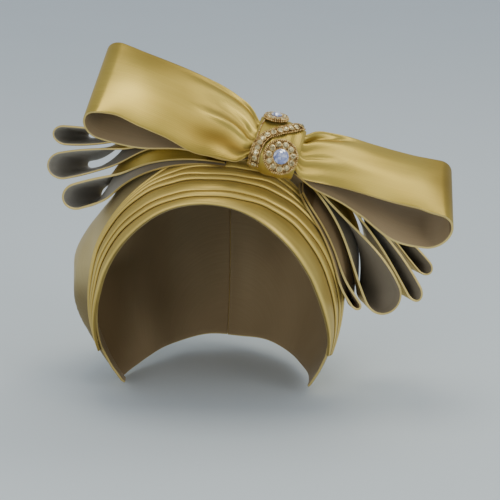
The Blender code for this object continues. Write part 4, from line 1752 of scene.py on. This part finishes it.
@dataclass
class Jeweller:
    """Models the small parts of the jewels once and sets copies of them."""

    palette: Palette
    seed: int = 7
    bead_sides: int = 8
    bead_rings: int = 5
    girdle: float = 0.35
    crown: Pair = (0.24, 0.22)
    table: Pair = (0.26, 0.16)
    facing_up: float = 0.9
    small_sides: int = 8
    small_lit: float = 0.25
    bezel_sides: int = 20
    bezel_ring: int = 6
    tone_power: float = 0.75

    def paint_facet_reflections(self, piece: Object, chance: random.Random, lit: float) -> None:
        """Give each facet of a stone its own painted reflection: a random tone, painted paler towards the top
        of the stone.

        Args:
            piece: The stone, in its place.
            chance: The source of the tones.
            lit: How much of the tone comes from the facet's height, 0 to 1.
        """
        layers = piece.data.attributes
        tones = layers.get(FACET_REFLECTION_NAME) or layers.new(FACET_REFLECTION_NAME, "FLOAT", "FACE")
        heights = [face.center.z for face in piece.data.polygons]
        middle = (max(heights) + min(heights)) / 2.0
        reach = (max(heights) - min(heights)) / 2.0
        for index, height in enumerate(heights):
            rise = 0.5 + 0.5 * (height - middle) / reach
            tones.data[index].value = blend(chance.random() ** self.tone_power, rise, lit)

    def pattern(self, finish: Finish) -> Object:
        """Return the shape just made, in its finish, as a pattern that is copied.

        Args:
            finish: Its finish.

        Returns:
            The pattern.
        """
        piece = bpy.context.active_object
        piece.data.materials.append(self.palette[finish])
        return piece

    def cut_stone(self, radius: float, sides: int, finish: Finish) -> Object:
        """Return one cut stone at the origin: a girdle, two rings of facets and a table.

        Args:
            radius: The stone's radius in millimetres.
            sides: How many facets go round it.
            finish: The stone's material.

        Returns:
            The stone, as a pattern that is copied.
        """
        size = radius * MM
        bpy.ops.object.select_all(action="DESELECT")
        bpy.ops.mesh.primitive_cylinder_add(
            vertices=sides,
            radius=size,
            depth=size * self.girdle,
            location=(0.0, 0.0, size * self.girdle / 2.0),
        )
        piece = self.pattern(finish)
        bpy.ops.object.transform_apply(location=True)
        bpy.ops.object.mode_set(mode="EDIT")
        bpy.ops.mesh.select_mode(type="FACE")
        bpy.ops.mesh.select_all(action="DESELECT")
        bpy.ops.object.mode_set(mode="OBJECT")
        for face in piece.data.polygons:
            face.select = face.normal.z > self.facing_up
        bpy.ops.object.mode_set(mode="EDIT")
        bpy.ops.mesh.inset(thickness=size * self.crown[0], depth=size * self.crown[1])
        bpy.ops.transform.rotate(value=math.pi / sides, orient_axis="Z", center_override=(0.0, 0.0, 0.0))
        bpy.ops.mesh.inset(thickness=size * self.table[0], depth=size * self.table[1])
        if sides > self.small_sides:
            bpy.ops.mesh.poke()
        bpy.ops.object.mode_set(mode="OBJECT")
        return piece

    def bezel(self, radius: float, thickness: float) -> Object:
        """Return one round gold bezel at the origin, as a pattern that is copied.

        Args:
            radius: The radius in millimetres.
            thickness: Half the thickness of its ring in millimetres.

        Returns:
            The pattern.
        """
        bpy.ops.object.select_all(action="DESELECT")
        bpy.ops.mesh.primitive_torus_add(
            major_radius=radius * MM,
            minor_radius=thickness * MM,
            major_segments=self.bezel_sides,
            minor_segments=self.bezel_ring,
        )
        bpy.ops.object.shade_smooth()
        return self.pattern(Finish.GOLD)

    def bead(self, radius: float) -> Object:
        """Return one seed bead at the origin, as a pattern that is copied.

        Args:
            radius: The radius in millimetres.

        Returns:
            The pattern.
        """
        bpy.ops.object.select_all(action="DESELECT")
        bpy.ops.mesh.primitive_uv_sphere_add(
            segments=self.bead_sides, ring_count=self.bead_rings, radius=radius * MM
        )
        bpy.ops.object.shade_smooth()
        return self.pattern(Finish.GOLD)

    def copy(self, pattern: Object, placement: Matrix) -> Object:
        """Return a copy of a pattern with its own mesh, set at its place.

        Args:
            pattern: The shape to copy.
            placement: The place it is set at.

        Returns:
            The copy.
        """
        piece = bpy.data.objects.new(pattern.name + "_set", pattern.data.copy())
        piece.data.transform(placement)
        bpy.context.scene.collection.objects.link(piece)
        return piece

    def set_stone(
        self, patterns: Sequence[Object], places: Sequence[Matrix], chance: random.Random, lit: float
    ) -> list[Object]:
        """Return a stone and its bezel, copied from their patterns to their places.

        Args:
            patterns: The stone and the bezel to copy.
            places: The placement of each.
            chance: The source of the facets' tones.
            lit: How much of the tones comes from the facets' height.

        Returns:
            The stone and the bezel.
        """
        stone = self.copy(patterns[0], places[0])
        self.paint_facet_reflections(stone, chance, lit)
        return [stone, self.copy(patterns[1], places[1])]

    def gather(self, name: str, parts: list[Object], patterns: Sequence[Object]) -> Object:
        """Return the parts joined into one piece, with the patterns taken away.

        Args:
            name: Its name.
            parts: The parts to join.
            patterns: The patterns, not needed any more.

        Returns:
            The piece.
        """
        bpy.ops.object.select_all(action="DESELECT")
        for part in parts:
            part.select_set(True)
        bpy.context.view_layer.objects.active = parts[0]
        bpy.ops.object.join()
        piece = bpy.context.active_object
        piece.name = name
        piece.data.name = name
        for pattern in patterns:
            bpy.data.objects.remove(pattern, do_unlink=True)
        return piece


@dataclass
class Medallion:
    """A round jewel: a beaded gold rim, a ring of stones and a crystal in the middle."""

    knot: KnotWrap
    jeweller: Jeweller
    node: str
    along: float
    around: float
    radius: float
    base: float = 1.5
    taper: float = 0.94
    backing_sides: int = 48
    stones: int = 11
    stone_share: float = 0.165
    crystal_share: float = 0.45
    ring_share: float = 0.72
    crystal_sides: int = 12
    crystal_lit: float = 0.45
    cup_share: float = 1.06
    cup_wall: float = 0.26
    cup_height: float = 0.25
    collar_share: float = 1.04
    collar_wall: float = 0.34
    collar_height: float = 0.3
    bead_radius: float = 0.5
    seed_radius: float = 0.34
    rim: tuple[BeadRow, ...] = (BeadRow(-0.35, 0.05, 1.12), BeadRow(0.1, -0.75, 1.12))
    seed_row: BeadRow = BeadRow(0.65, 0.3, 0.78)
    edge_round: float = 0.25
    edge_angle: float = 30.0
    smooth_angle: float = 40.0

    def backing(self, placement: Matrix) -> Object:
        """Return the gold disc that the stones sit on.

        Args:
            placement: The place it is set at.

        Returns:
            The disc.
        """
        bpy.ops.object.select_all(action="DESELECT")
        bpy.ops.mesh.primitive_cone_add(
            vertices=self.backing_sides,
            radius1=self.radius * MM,
            radius2=self.radius * self.taper * MM,
            depth=self.base * MM,
        )
        # The backing in the darker gold: painted shade.
        piece = self.jeweller.pattern(Finish.GOLD_PAINTED_SHADE)
        round_edges(piece, self.edge_round * MM, self.edge_angle)
        apply_modifiers(piece)
        bpy.ops.object.shade_smooth_by_angle(angle=math.radians(self.smooth_angle))
        piece.data.transform(placement)
        return piece

    def bead_ring(self, bead: Object, top: Matrix, circle: float, row: BeadRow) -> list[Object]:
        """Return copies of a bead in a ring on the medallion.

        Args:
            bead: The bead to copy.
            top: The placement of the medallion's face.
            circle: The radius in millimetres of the circle that the ring goes round.
            row: Where the ring lies by that circle.

        Returns:
            The beads.
        """
        radius = circle + row.past
        count = round(2.0 * math.pi * radius / row.pitch)
        beads = []
        for index in range(count):
            spot = Matrix.Translation((radius * MM, 0.0, row.height * MM))
            beads.append(self.jeweller.copy(bead, top @ turned(2.0 * math.pi * index / count) @ spot))
        return beads

    def make(self) -> Object:
        """Return the medallion.

        Returns:
            The finished piece.
        """
        gaps = self.knot.wearing.gaps
        jeweller = self.jeweller
        chance = random.Random(jeweller.seed)
        height = gaps.cloth / 2.0 + gaps.seat_gap + self.base / 2.0
        placement = self.knot.stand(self.along, self.around, height)
        top = placement @ raised(self.base / 2.0)
        small = self.radius * self.stone_share
        large = self.radius * self.crystal_share
        stone = jeweller.cut_stone(small, jeweller.small_sides, Finish.CLEAR_STONE)
        cup = jeweller.bezel(small * self.cup_share, self.cup_wall)
        crystal = jeweller.cut_stone(large, self.crystal_sides, Finish.BLUE_STONE)
        collar = jeweller.bezel(large * self.collar_share, self.collar_wall)
        bead = jeweller.bead(self.bead_radius)
        seed = jeweller.bead(self.seed_radius)
        parts = [self.backing(placement)]
        places = (top, top @ raised(self.collar_height))
        parts += jeweller.set_stone((crystal, collar), places, chance, self.crystal_lit)
        for count in range(self.stones):
            out = Matrix.Translation((self.ring_share * self.radius * MM, 0.0, 0.0))
            spot = top @ turned(2.0 * math.pi * count / self.stones) @ out
            places = (spot @ turned(chance.uniform(0.0, math.pi)), spot @ raised(self.cup_height))
            parts += jeweller.set_stone((stone, cup), places, chance, jeweller.small_lit)
        for row in self.rim:
            parts += self.bead_ring(bead, top, self.radius, row)
        parts += self.bead_ring(seed, top, large, self.seed_row)
        piece = jeweller.gather(self.node + "_jewel", parts, (stone, cup, crystal, collar, bead, seed))
        dress_node(piece, self.node)
        return piece


@dataclass
class StoneTrim:
    """The strip of round stones that sweeps across the knot between rows of gold beads.

    Its stations are millimetres along the knot and degrees round it.
    """

    knot: KnotWrap
    jeweller: Jeweller
    stations: Curve = (
        (-8.6, -98.0), (-9.4, -74.0), (-9.4, -52.0), (-8.8, -32.0), (-6.6, -14.0),
        (-2.0, -2.0), (2.0, 6.0), (6.0, 20.0), (9.6, 46.0),
    )
    width: float = 4.2
    wall: float = 1.1
    crown: float = 0.25
    stones: int = 13
    stone_radius: float = 1.5
    bead_radius: float = 0.46
    bead_rows: Curve = ((-1.1, 0.35), (1.1, 0.35), (1.56, -0.1))
    bead_pitch: float = 2.1
    upper_beads: Curve = ((-11.2, -36.0), (-11.6, -12.0), (-11.2, 10.0), (-10.2, 30.0), (-9.6, 62.0))
    upper_steps: int = 8
    upper_height: float = 0.1
    cup_share: float = 1.05
    cup_wall: float = 0.26
    cup_height: float = 0.2
    strip_steps: tuple[int, int] = (60, 6)

    def spot(self, share: float) -> Pair:
        """Return the place on the knot at a share of the line, on a smooth curve.

        Args:
            share: The share of the length, 0 to 1.

        Returns:
            Millimetres along the knot and degrees round it.
        """
        last = len(self.stations) - 1
        reach = share * last
        index = min(int(reach), last - 1)
        first, second = self.stations[index], self.stations[index + 1]
        before, after = self.stations[max(index - 1, 0)], self.stations[min(index + 2, last)]
        values = []
        for column in (0, 1):
            slopes = ((second[column] - before[column]) / 2.0, (after[column] - first[column]) / 2.0)
            values.append(hermite(first[column], second[column], slopes, reach - index))
        return values[0], values[1]

    def point(self, share: float, side: float, height: float) -> Vector:
        """Return a point of the trim: side runs -1 to 1 across it, height is over the knot.

        Args:
            share: The share of the length, 0 to 1.
            side: The place across the strip, -1 to 1.
            height: Millimetres over the knot.

        Returns:
            The point in millimetres.
        """
        step = 0.01
        along, around = self.spot(share)
        before = self.knot.surface(*self.spot(max(share - step, 0.0)))
        after = self.knot.surface(*self.spot(min(share + step, 1.0)))
        outward = self.knot.normal(along, around)
        sideways = outward.cross((after - before).normalized())
        base = self.knot.surface(along, around)
        return base + sideways * (side * self.width / 2.0) + outward * height

    def make(self) -> Object:
        """Return the trim.

        Returns:
            The finished piece.
        """
        gaps = self.knot.wearing.gaps
        jeweller = self.jeweller
        chance = random.Random(jeweller.seed + 1)
        height = gaps.cloth / 2.0 + gaps.seat_gap + self.wall / 2.0

        def place(u: float, v: float) -> Vector:
            """Place the strip under the stones."""
            side = 2.0 * v - 1.0
            return self.point(u, side, height + self.crown * (1.0 - side * side))

        sheet = ClothSheet("trim_strip", *self.strip_steps, self.wall)
        # The strip in the darker gold: painted shade.
        parts = [sheet.make(place, (jeweller.palette[Finish.GOLD_PAINTED_SHADE],) * 3)]
        stone = jeweller.cut_stone(self.stone_radius, jeweller.small_sides, Finish.CLEAR_STONE)
        cup = jeweller.bezel(self.stone_radius * self.cup_share, self.cup_wall)
        bead = jeweller.bead(self.bead_radius)
        top = height + self.wall / 2.0 + self.crown
        for count in range(self.stones):
            along, around = self.spot((count + 0.5) / self.stones)
            placement = self.knot.stand(along, around, top, chance.uniform(0.0, math.pi))
            places = (placement, placement @ raised(self.cup_height))
            parts += jeweller.set_stone((stone, cup), places, chance, jeweller.small_lit)
        length = cloth_line(lambda u, v: self.point(u, 0.0, height), 0.0, self.strip_steps[0], True)[-1] / MM
        beads = round(length / (self.bead_radius * self.bead_pitch))
        for side, rise in self.bead_rows:
            for count in range(beads):
                spot = self.point((count + 0.5) / beads, side, height + rise)
                parts.append(jeweller.copy(bead, Matrix.Translation(spot * MM)))
        for first, second in zip(self.upper_beads, self.upper_beads[1:]):
            for count in range(self.upper_steps):
                share = count / self.upper_steps
                spot = (blend(first[0], second[0], share), blend(first[1], second[1], share))
                over = gaps.cloth / 2.0 + self.bead_radius + self.upper_height
                parts.append(jeweller.copy(bead, self.knot.stand(*spot, over)))
        piece = jeweller.gather("rhinestone_trim_jewel", parts, (stone, cup, bead))
        dress_node(piece, "rhinestone_trim")
        return piece


# The setting for the picture


@dataclass(frozen=True)
class Lamp:
    """One soft square light: its place and size in metres, its power and its colour."""

    name: str
    spot: Triple
    size: float
    power: float
    colour: Triple


@dataclass
class Studio:
    """The pale floor and backdrop, the soft lights and the camera."""

    floor_height: float = -0.162
    floor_size: float = 16.0
    floor_colour: Triple = (0.655, 0.725, 0.77)
    floor_cloud: float = 6.0
    floor_shade: float = 0.965
    floor_roughness: float = 0.75
    room_colour: Triple = (0.72, 0.77, 0.82)
    room_light: float = 0.82
    lamps: tuple[Lamp, ...] = (
        Lamp("overhead", (0.02, -0.22, 1.2), 0.5, 4.4, (1.0, 0.95, 0.78)),
        Lamp("behind", (0.62, 0.34, 1.05), 0.5, 2.6, (1.0, 0.95, 0.78)),
        Lamp("front", (-0.55, -1.5, 0.25), 0.8, 7.2, (1.0, 0.98, 0.94)),
        Lamp("side", (1.2, -0.8, 0.2), 0.7, 6.6, (1.0, 0.98, 0.95)),
    )
    target: Triple = (0.02, -0.03, -0.05)
    eye: Triple = (0.0919, -1.0316, 0.2001)
    forward: Triple = (-0.0674, 0.9636, -0.2588)
    right: Triple = (0.9976, 0.0698, 0.0)
    up: Triple = (-0.0181, 0.2582, 0.9659)
    lens: float = 130.9
    film_width: float = 36.0
    nearest: float = 0.01

    def floor(self) -> Object:
        """Return the floor, a wide flat plane.

        Returns:
            The floor.
        """
        bpy.ops.object.select_all(action="DESELECT")
        bpy.ops.mesh.primitive_plane_add(size=self.floor_size, location=(0.0, 0.0, self.floor_height))
        piece = bpy.context.active_object
        piece.name = "studio_floor"
        bpy.ops.object.transform_apply(location=True)
        material, tree, shader = new_material("pale_floor")
        spot = add_node(tree, "ShaderNodeTexCoord").outputs["Object"]
        cloud = add_node(tree, "ShaderNodeTexNoise", {"Scale": self.floor_cloud, "Vector": spot})
        shade = tuple(channel * self.floor_shade for channel in self.floor_colour)
        colour = mix_colour(tree, cloud.outputs["Fac"], self.floor_colour, shade)
        feed(tree, shader, {"Base Color": colour, "Roughness": self.floor_roughness})
        piece.data.materials.append(material)
        return piece

    def add_lamp(self, lamp: Lamp) -> None:
        """Add a light that looks at the head tie.

        Args:
            lamp: The light to add.
        """
        light = bpy.data.lights.new(lamp.name, "AREA")
        light.size = lamp.size
        light.energy = lamp.power
        light.color = lamp.colour
        holder = bpy.data.objects.new(lamp.name, light)
        holder.location = lamp.spot
        way = Vector(self.target) - Vector(lamp.spot)
        holder.rotation_euler = way.to_track_quat("-Z", "Y").to_euler()
        bpy.context.scene.collection.objects.link(holder)

    def make(self) -> None:
        """Set up the floor, the light and the camera."""
        self.floor()
        world = bpy.data.worlds.new("pale_room")
        world.use_nodes = True
        background = {0: (*self.room_colour, 1.0), 1: self.room_light}
        feed(world.node_tree, world.node_tree.nodes["Background"], background)
        bpy.context.scene.world = world
        for lamp in self.lamps:
            self.add_lamp(lamp)
        lens = bpy.data.cameras.new("photo_view")
        lens.sensor_width = self.film_width
        lens.lens = self.lens
        lens.clip_start = self.nearest
        holder = bpy.data.objects.new("photo_view", lens)
        turn = Matrix((self.right, self.up, -Vector(self.forward))).transposed()
        holder.matrix_world = Matrix.Translation(Vector(self.eye)) @ turn.to_4x4()
        bpy.context.scene.collection.objects.link(holder)
        bpy.context.scene.camera = holder


def left_bow(wearing: Wearing) -> BowLoop:
    """Return the high loop of the bow.

    Args:
        wearing: The head, the brow arch, the clearances and the finishes.

    Returns:
        The loop, not made yet.
    """
    return BowLoop(
        wearing,
        "bow_loop_left",
        root=(30.0, -57.0, -1.8),
        tip=(-63.0, -42.0, 27.0),
        root_lean=56.0,
        tip_lean=54.0,
        spread=0.16,
        width=53.5,
        half_gap=10.5,
        nose=9.0,
        sag=-1.5,
        power=3.2,
        flare=8.5,
        bulge=3.4,
        gather_depth=0.7,
        low={
            Leg.FRONT: (
                (0.0, 11.0), (3.0, 14.0), (6.0, 19.4), (9.0, 21.5), (18.0, 21.8), (24.0, 22.8),
                (30.0, 24.2), (36.0, 24.5), (43.0, 23.5), (50.0, 22.8), (60.0, 23.0), (68.0, 23.0),
                (76.0, 22.4), (81.0, 22.6), (86.0, 24.2), (92.0, 26.5),
            ),
            Leg.BACK: (
                (0.0, 10.0), (4.0, 11.0), (7.0, 13.5), (13.0, 16.5), (18.0, 17.8), (24.0, 18.2),
                (30.0, 18.2), (36.0, 18.8), (43.0, 19.8), (50.0, 21.8), (60.0, 24.8), (68.0, 26.0),
                (78.0, 26.5),
            ),
        },
        high={
            Leg.FRONT: (
                (0.0, 10.0), (4.0, 11.0), (7.0, 14.0), (11.0, 18.8), (15.0, 22.3), (20.0, 24.8),
                (27.0, 27.3), (36.0, 28.6), (50.0, 28.4), (62.0, 27.6), (79.0, 26.75),
            ),
            Leg.BACK: (
                (0.0, 9.9), (7.5, 9.4), (11.0, 15.0), (15.0, 18.7), (20.0, 22.2), (27.0, 26.6),
                (36.0, 28.5), (50.0, 28.4), (62.0, 27.6), (79.0, 26.75),
            ),
        },
        creases=(
            Crease(Leg.FRONT, 0.46, 0.53, 5.0, 48.0, 1.5, 0.035),
            Crease(Leg.FRONT, 0.64, 0.71, 5.0, 52.0, -1.3, 0.07),
            Crease(Leg.FRONT, 0.93, 0.95, 5.0, 62.0, -1.3, 0.04),
        ),
        # Painted shade (below 0) and painted highlights (above 0) on the loop's legs.
        painted_patches=(
            PaintedShadePatch(Leg.FRONT, 30.0, 0.20, 20.0, 0.22, -0.20),
            PaintedShadePatch(Leg.FRONT, 23.0, 0.30, 14.0, 0.24, -0.24),
            PaintedShadePatch(Leg.FRONT, 7.0, 0.06, 11.0, 0.24, -0.36),
            PaintedShadePatch(Leg.FRONT, 74.0, 0.26, 20.0, 0.24, 0.20),
            PaintedShadePatch(Leg.FRONT, 74.0, 0.95, 34.0, 0.26, -0.17),
        ),
        rests_on=("fan_loop_left_2_cloth",),
    )


def right_bow(wearing: Wearing) -> BowLoop:
    """Return the low loop of the bow.

    Args:
        wearing: The head, the brow arch, the clearances and the finishes.

    Returns:
        The loop, not made yet.
    """
    return BowLoop(
        wearing,
        "bow_loop_right",
        root=(46.0, -57.5, -6.0),
        tip=(134.0, -39.0, -40.0),
        root_lean=56.0,
        tip_lean=70.0,
        spread=0.14,
        width=51.0,
        half_gap=12.0,
        nose=10.0,
        sag=3.0,
        power=1.7,
        flare=2.0,
        bulge=3.0,
        gather_depth=0.6,
        low={
            Leg.FRONT: (
                (0.0, 11.0), (3.0, 14.0), (6.0, 17.6), (11.0, 17.5), (18.0, 15.8), (24.0, 14.8),
                (30.0, 14.5), (36.0, 15.0), (43.0, 16.0), (50.0, 17.5), (60.0, 19.5), (68.0, 20.5),
                (74.0, 21.2), (80.0, 23.4), (90.0, 25.5),
            ),
            Leg.BACK: (
                (0.0, 8.5), (10.5, 12.0), (18.0, 14.2), (30.0, 14.2), (36.0, 14.4), (43.0, 15.8),
                (50.0, 18.0), (60.0, 24.0), (66.0, 27.0), (72.0, 28.0), (80.0, 27.2), (86.0, 26.0),
                (92.0, 25.5),
            ),
        },
        high={
            Leg.FRONT: (
                (0.0, 11.0), (4.0, 12.0), (7.5, 14.0), (11.0, 17.6), (15.0, 20.2), (20.0, 22.0),
                (27.0, 24.0), (36.0, 25.2), (50.0, 25.5),
            ),
            Leg.BACK: (
                (0.0, 10.2), (7.5, 9.6), (11.0, 14.8), (15.0, 17.8), (20.0, 20.7), (27.0, 24.0),
                (36.0, 25.2), (50.0, 25.5),
            ),
        },
        creases=(
            Crease(Leg.FRONT, 0.96, 1.0, 3.0, 44.0, 1.0, 0.04),
            Crease(Leg.FRONT, 0.85, 0.92, 3.0, 38.0, -2.6, 0.05),
            Crease(Leg.FRONT, 0.46, 0.42, 4.0, 32.0, -1.0, 0.04),
        ),
        # Painted shade (below 0) and painted highlights (above 0) on the loop's legs.
        painted_patches=(
            PaintedShadePatch(Leg.FRONT, 94.0, 0.6, 15.0, 0.7, -0.42),
            PaintedShadePatch(Leg.FRONT, 50.0, 0.28, 22.0, 0.34, 0.24),
            PaintedShadePatch(Leg.BACK, 60.0, 0.30, 44.0, 0.90, 0.32),
        ),
        rests_on=("fan_loop_right_1_cloth",),
    )


def fan_loops(wearing: Wearing) -> list[FanLoop]:
    """Return the loops of both fans, from the bow down to the pleats on each side.

    Args:
        wearing: The head, the brow arch, the clearances and the finishes.

    Returns:
        The loops, not made yet.
    """
    left = {"inside": Finish.FAN_INSIDE, "rise_shares": (0.2, 0.8)}
    # Painted light at the roots of the -X loops: painted shade on the lower leg, painted light on the upper
    # leg.
    high = {"root_painted_tone": -0.1, "root_shade": (0.25, 0.8), "upper_painted_tone": 0.62}
    low = {"root_painted_tone": 0.05, "root_shade": (0.35, 0.85), "upper_painted_tone": 0.8}
    # Both sides of the lowest +X loop in painted shade, where it lies in shadow.
    painted_dark = {"outside": Finish.PAINTED_SHADE, "inside": Finish.PAINTED_SHADE}
    return [
        FanLoop(
            wearing, "fan_loop_left_1", (-21.0, -43.4, 2.3), (-90.0, -30.0, -3.3), 5.3, 7.0, 2.0, 2.2,
            2, 14.0, 44.0, 0.35, -0.22, 0.06, 1.9, 0.16, rests_on=("fan_loop_left_2_cloth",), **left, **high
        ),
        FanLoop(
            wearing, "fan_loop_left_2", (-4.0, -52.0, -4.5), (-93.0, -33.0, -22.1), 7.5, 9.0, -1.0, 2.8,
            1, 14.0, 46.0, 0.45, -0.22, 0.08, 2.6, 0.14, rests_on=("fan_loop_left_3_cloth",), **left, **high
        ),
        FanLoop(
            wearing, "fan_loop_left_3", (10.0, -62.0, -14.0), (-84.0, -37.0, -39.8), 7.2, 9.0, -2.6, 2.0,
            0, 12.0, 46.0, 0.55, -0.22, 0.10, 4.2, 0.12, rests_on=("brow_pleats_cloth",), **left, **low
        ),
        FanLoop(
            wearing, "fan_loop_right_1", (80.2, -40.3, -30.8), (125.0, -22.0, -83.0), 4.0, 6.0, -1.0, 2.0,
            3, 12.0, 42.0, 0.2, -0.20, -0.42, 1.5, 0.12, rests_on=("fan_loop_right_2_cloth",)
        ),
        FanLoop(
            wearing, "fan_loop_right_2", (64.0, -48.0, -23.0), (119.0, -26.0, -98.0), 4.2, 7.0, -4.8, 2.0,
            2, 22.0, 44.0, 0.2, -0.20, -0.42, 1.5, 0.12, rests_on=("fan_loop_right_3_cloth",)
        ),
        FanLoop(
            wearing, "fan_loop_right_3", (57.5, -54.0, -24.0), (102.5, -31.0, -104.0), 10.5, 12.0, -4.0, 2.5,
            1, 18.0, 46.0, 0.2, -0.20, -0.42, 1.6, 0.16, rests_on=("fan_loop_right_4_cloth",)
        ),
        FanLoop(
            wearing, "fan_loop_right_4", (52.0, -56.0, -29.0), (84.5, -33.0, -102.0), 2.4, 4.0, 3.0, 1.8,
            0, 12.0, 44.0, 0.2, -0.20, -0.24, 1.4, 0.08, rests_on=("brow_pleats_cloth",), **painted_dark
        ),
    ]


def main() -> None:
    """Build the head tie in order and report each piece."""
    logging.basicConfig(level=logging.INFO, format="%(message)s")
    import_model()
    Studio().make()
    groups = SharedGroups(WeaveGroup().build(), ToneGroup().build(), PaintedFoldShadeGroup().build())
    palette = {finish: finish.value.build(groups) for finish in Finish}
    wearing = Wearing(HeadForm(), BrowArch(), Clearances(), palette)
    cap = CrownCap(wearing)
    knot = KnotWrap(wearing)
    jeweller = Jeweller(palette)
    makers = [cap, BrowPleats(wearing, cap), left_bow(wearing), right_bow(wearing), *fan_loops(wearing), knot]
    makers.append(StoneTrim(knot, jeweller))
    makers.append(Medallion(knot, jeweller, "medallion_front", along=3.3, around=-53.5, radius=9.3))
    makers.append(Medallion(knot, jeweller, "medallion_top", along=-5.0, around=39.0, radius=6.6))
    for maker in makers:
        piece = maker.make()
        LOG.info("%s: %d faces", piece.name, len(piece.data.polygons))


if __name__ == "__main__":
    main()
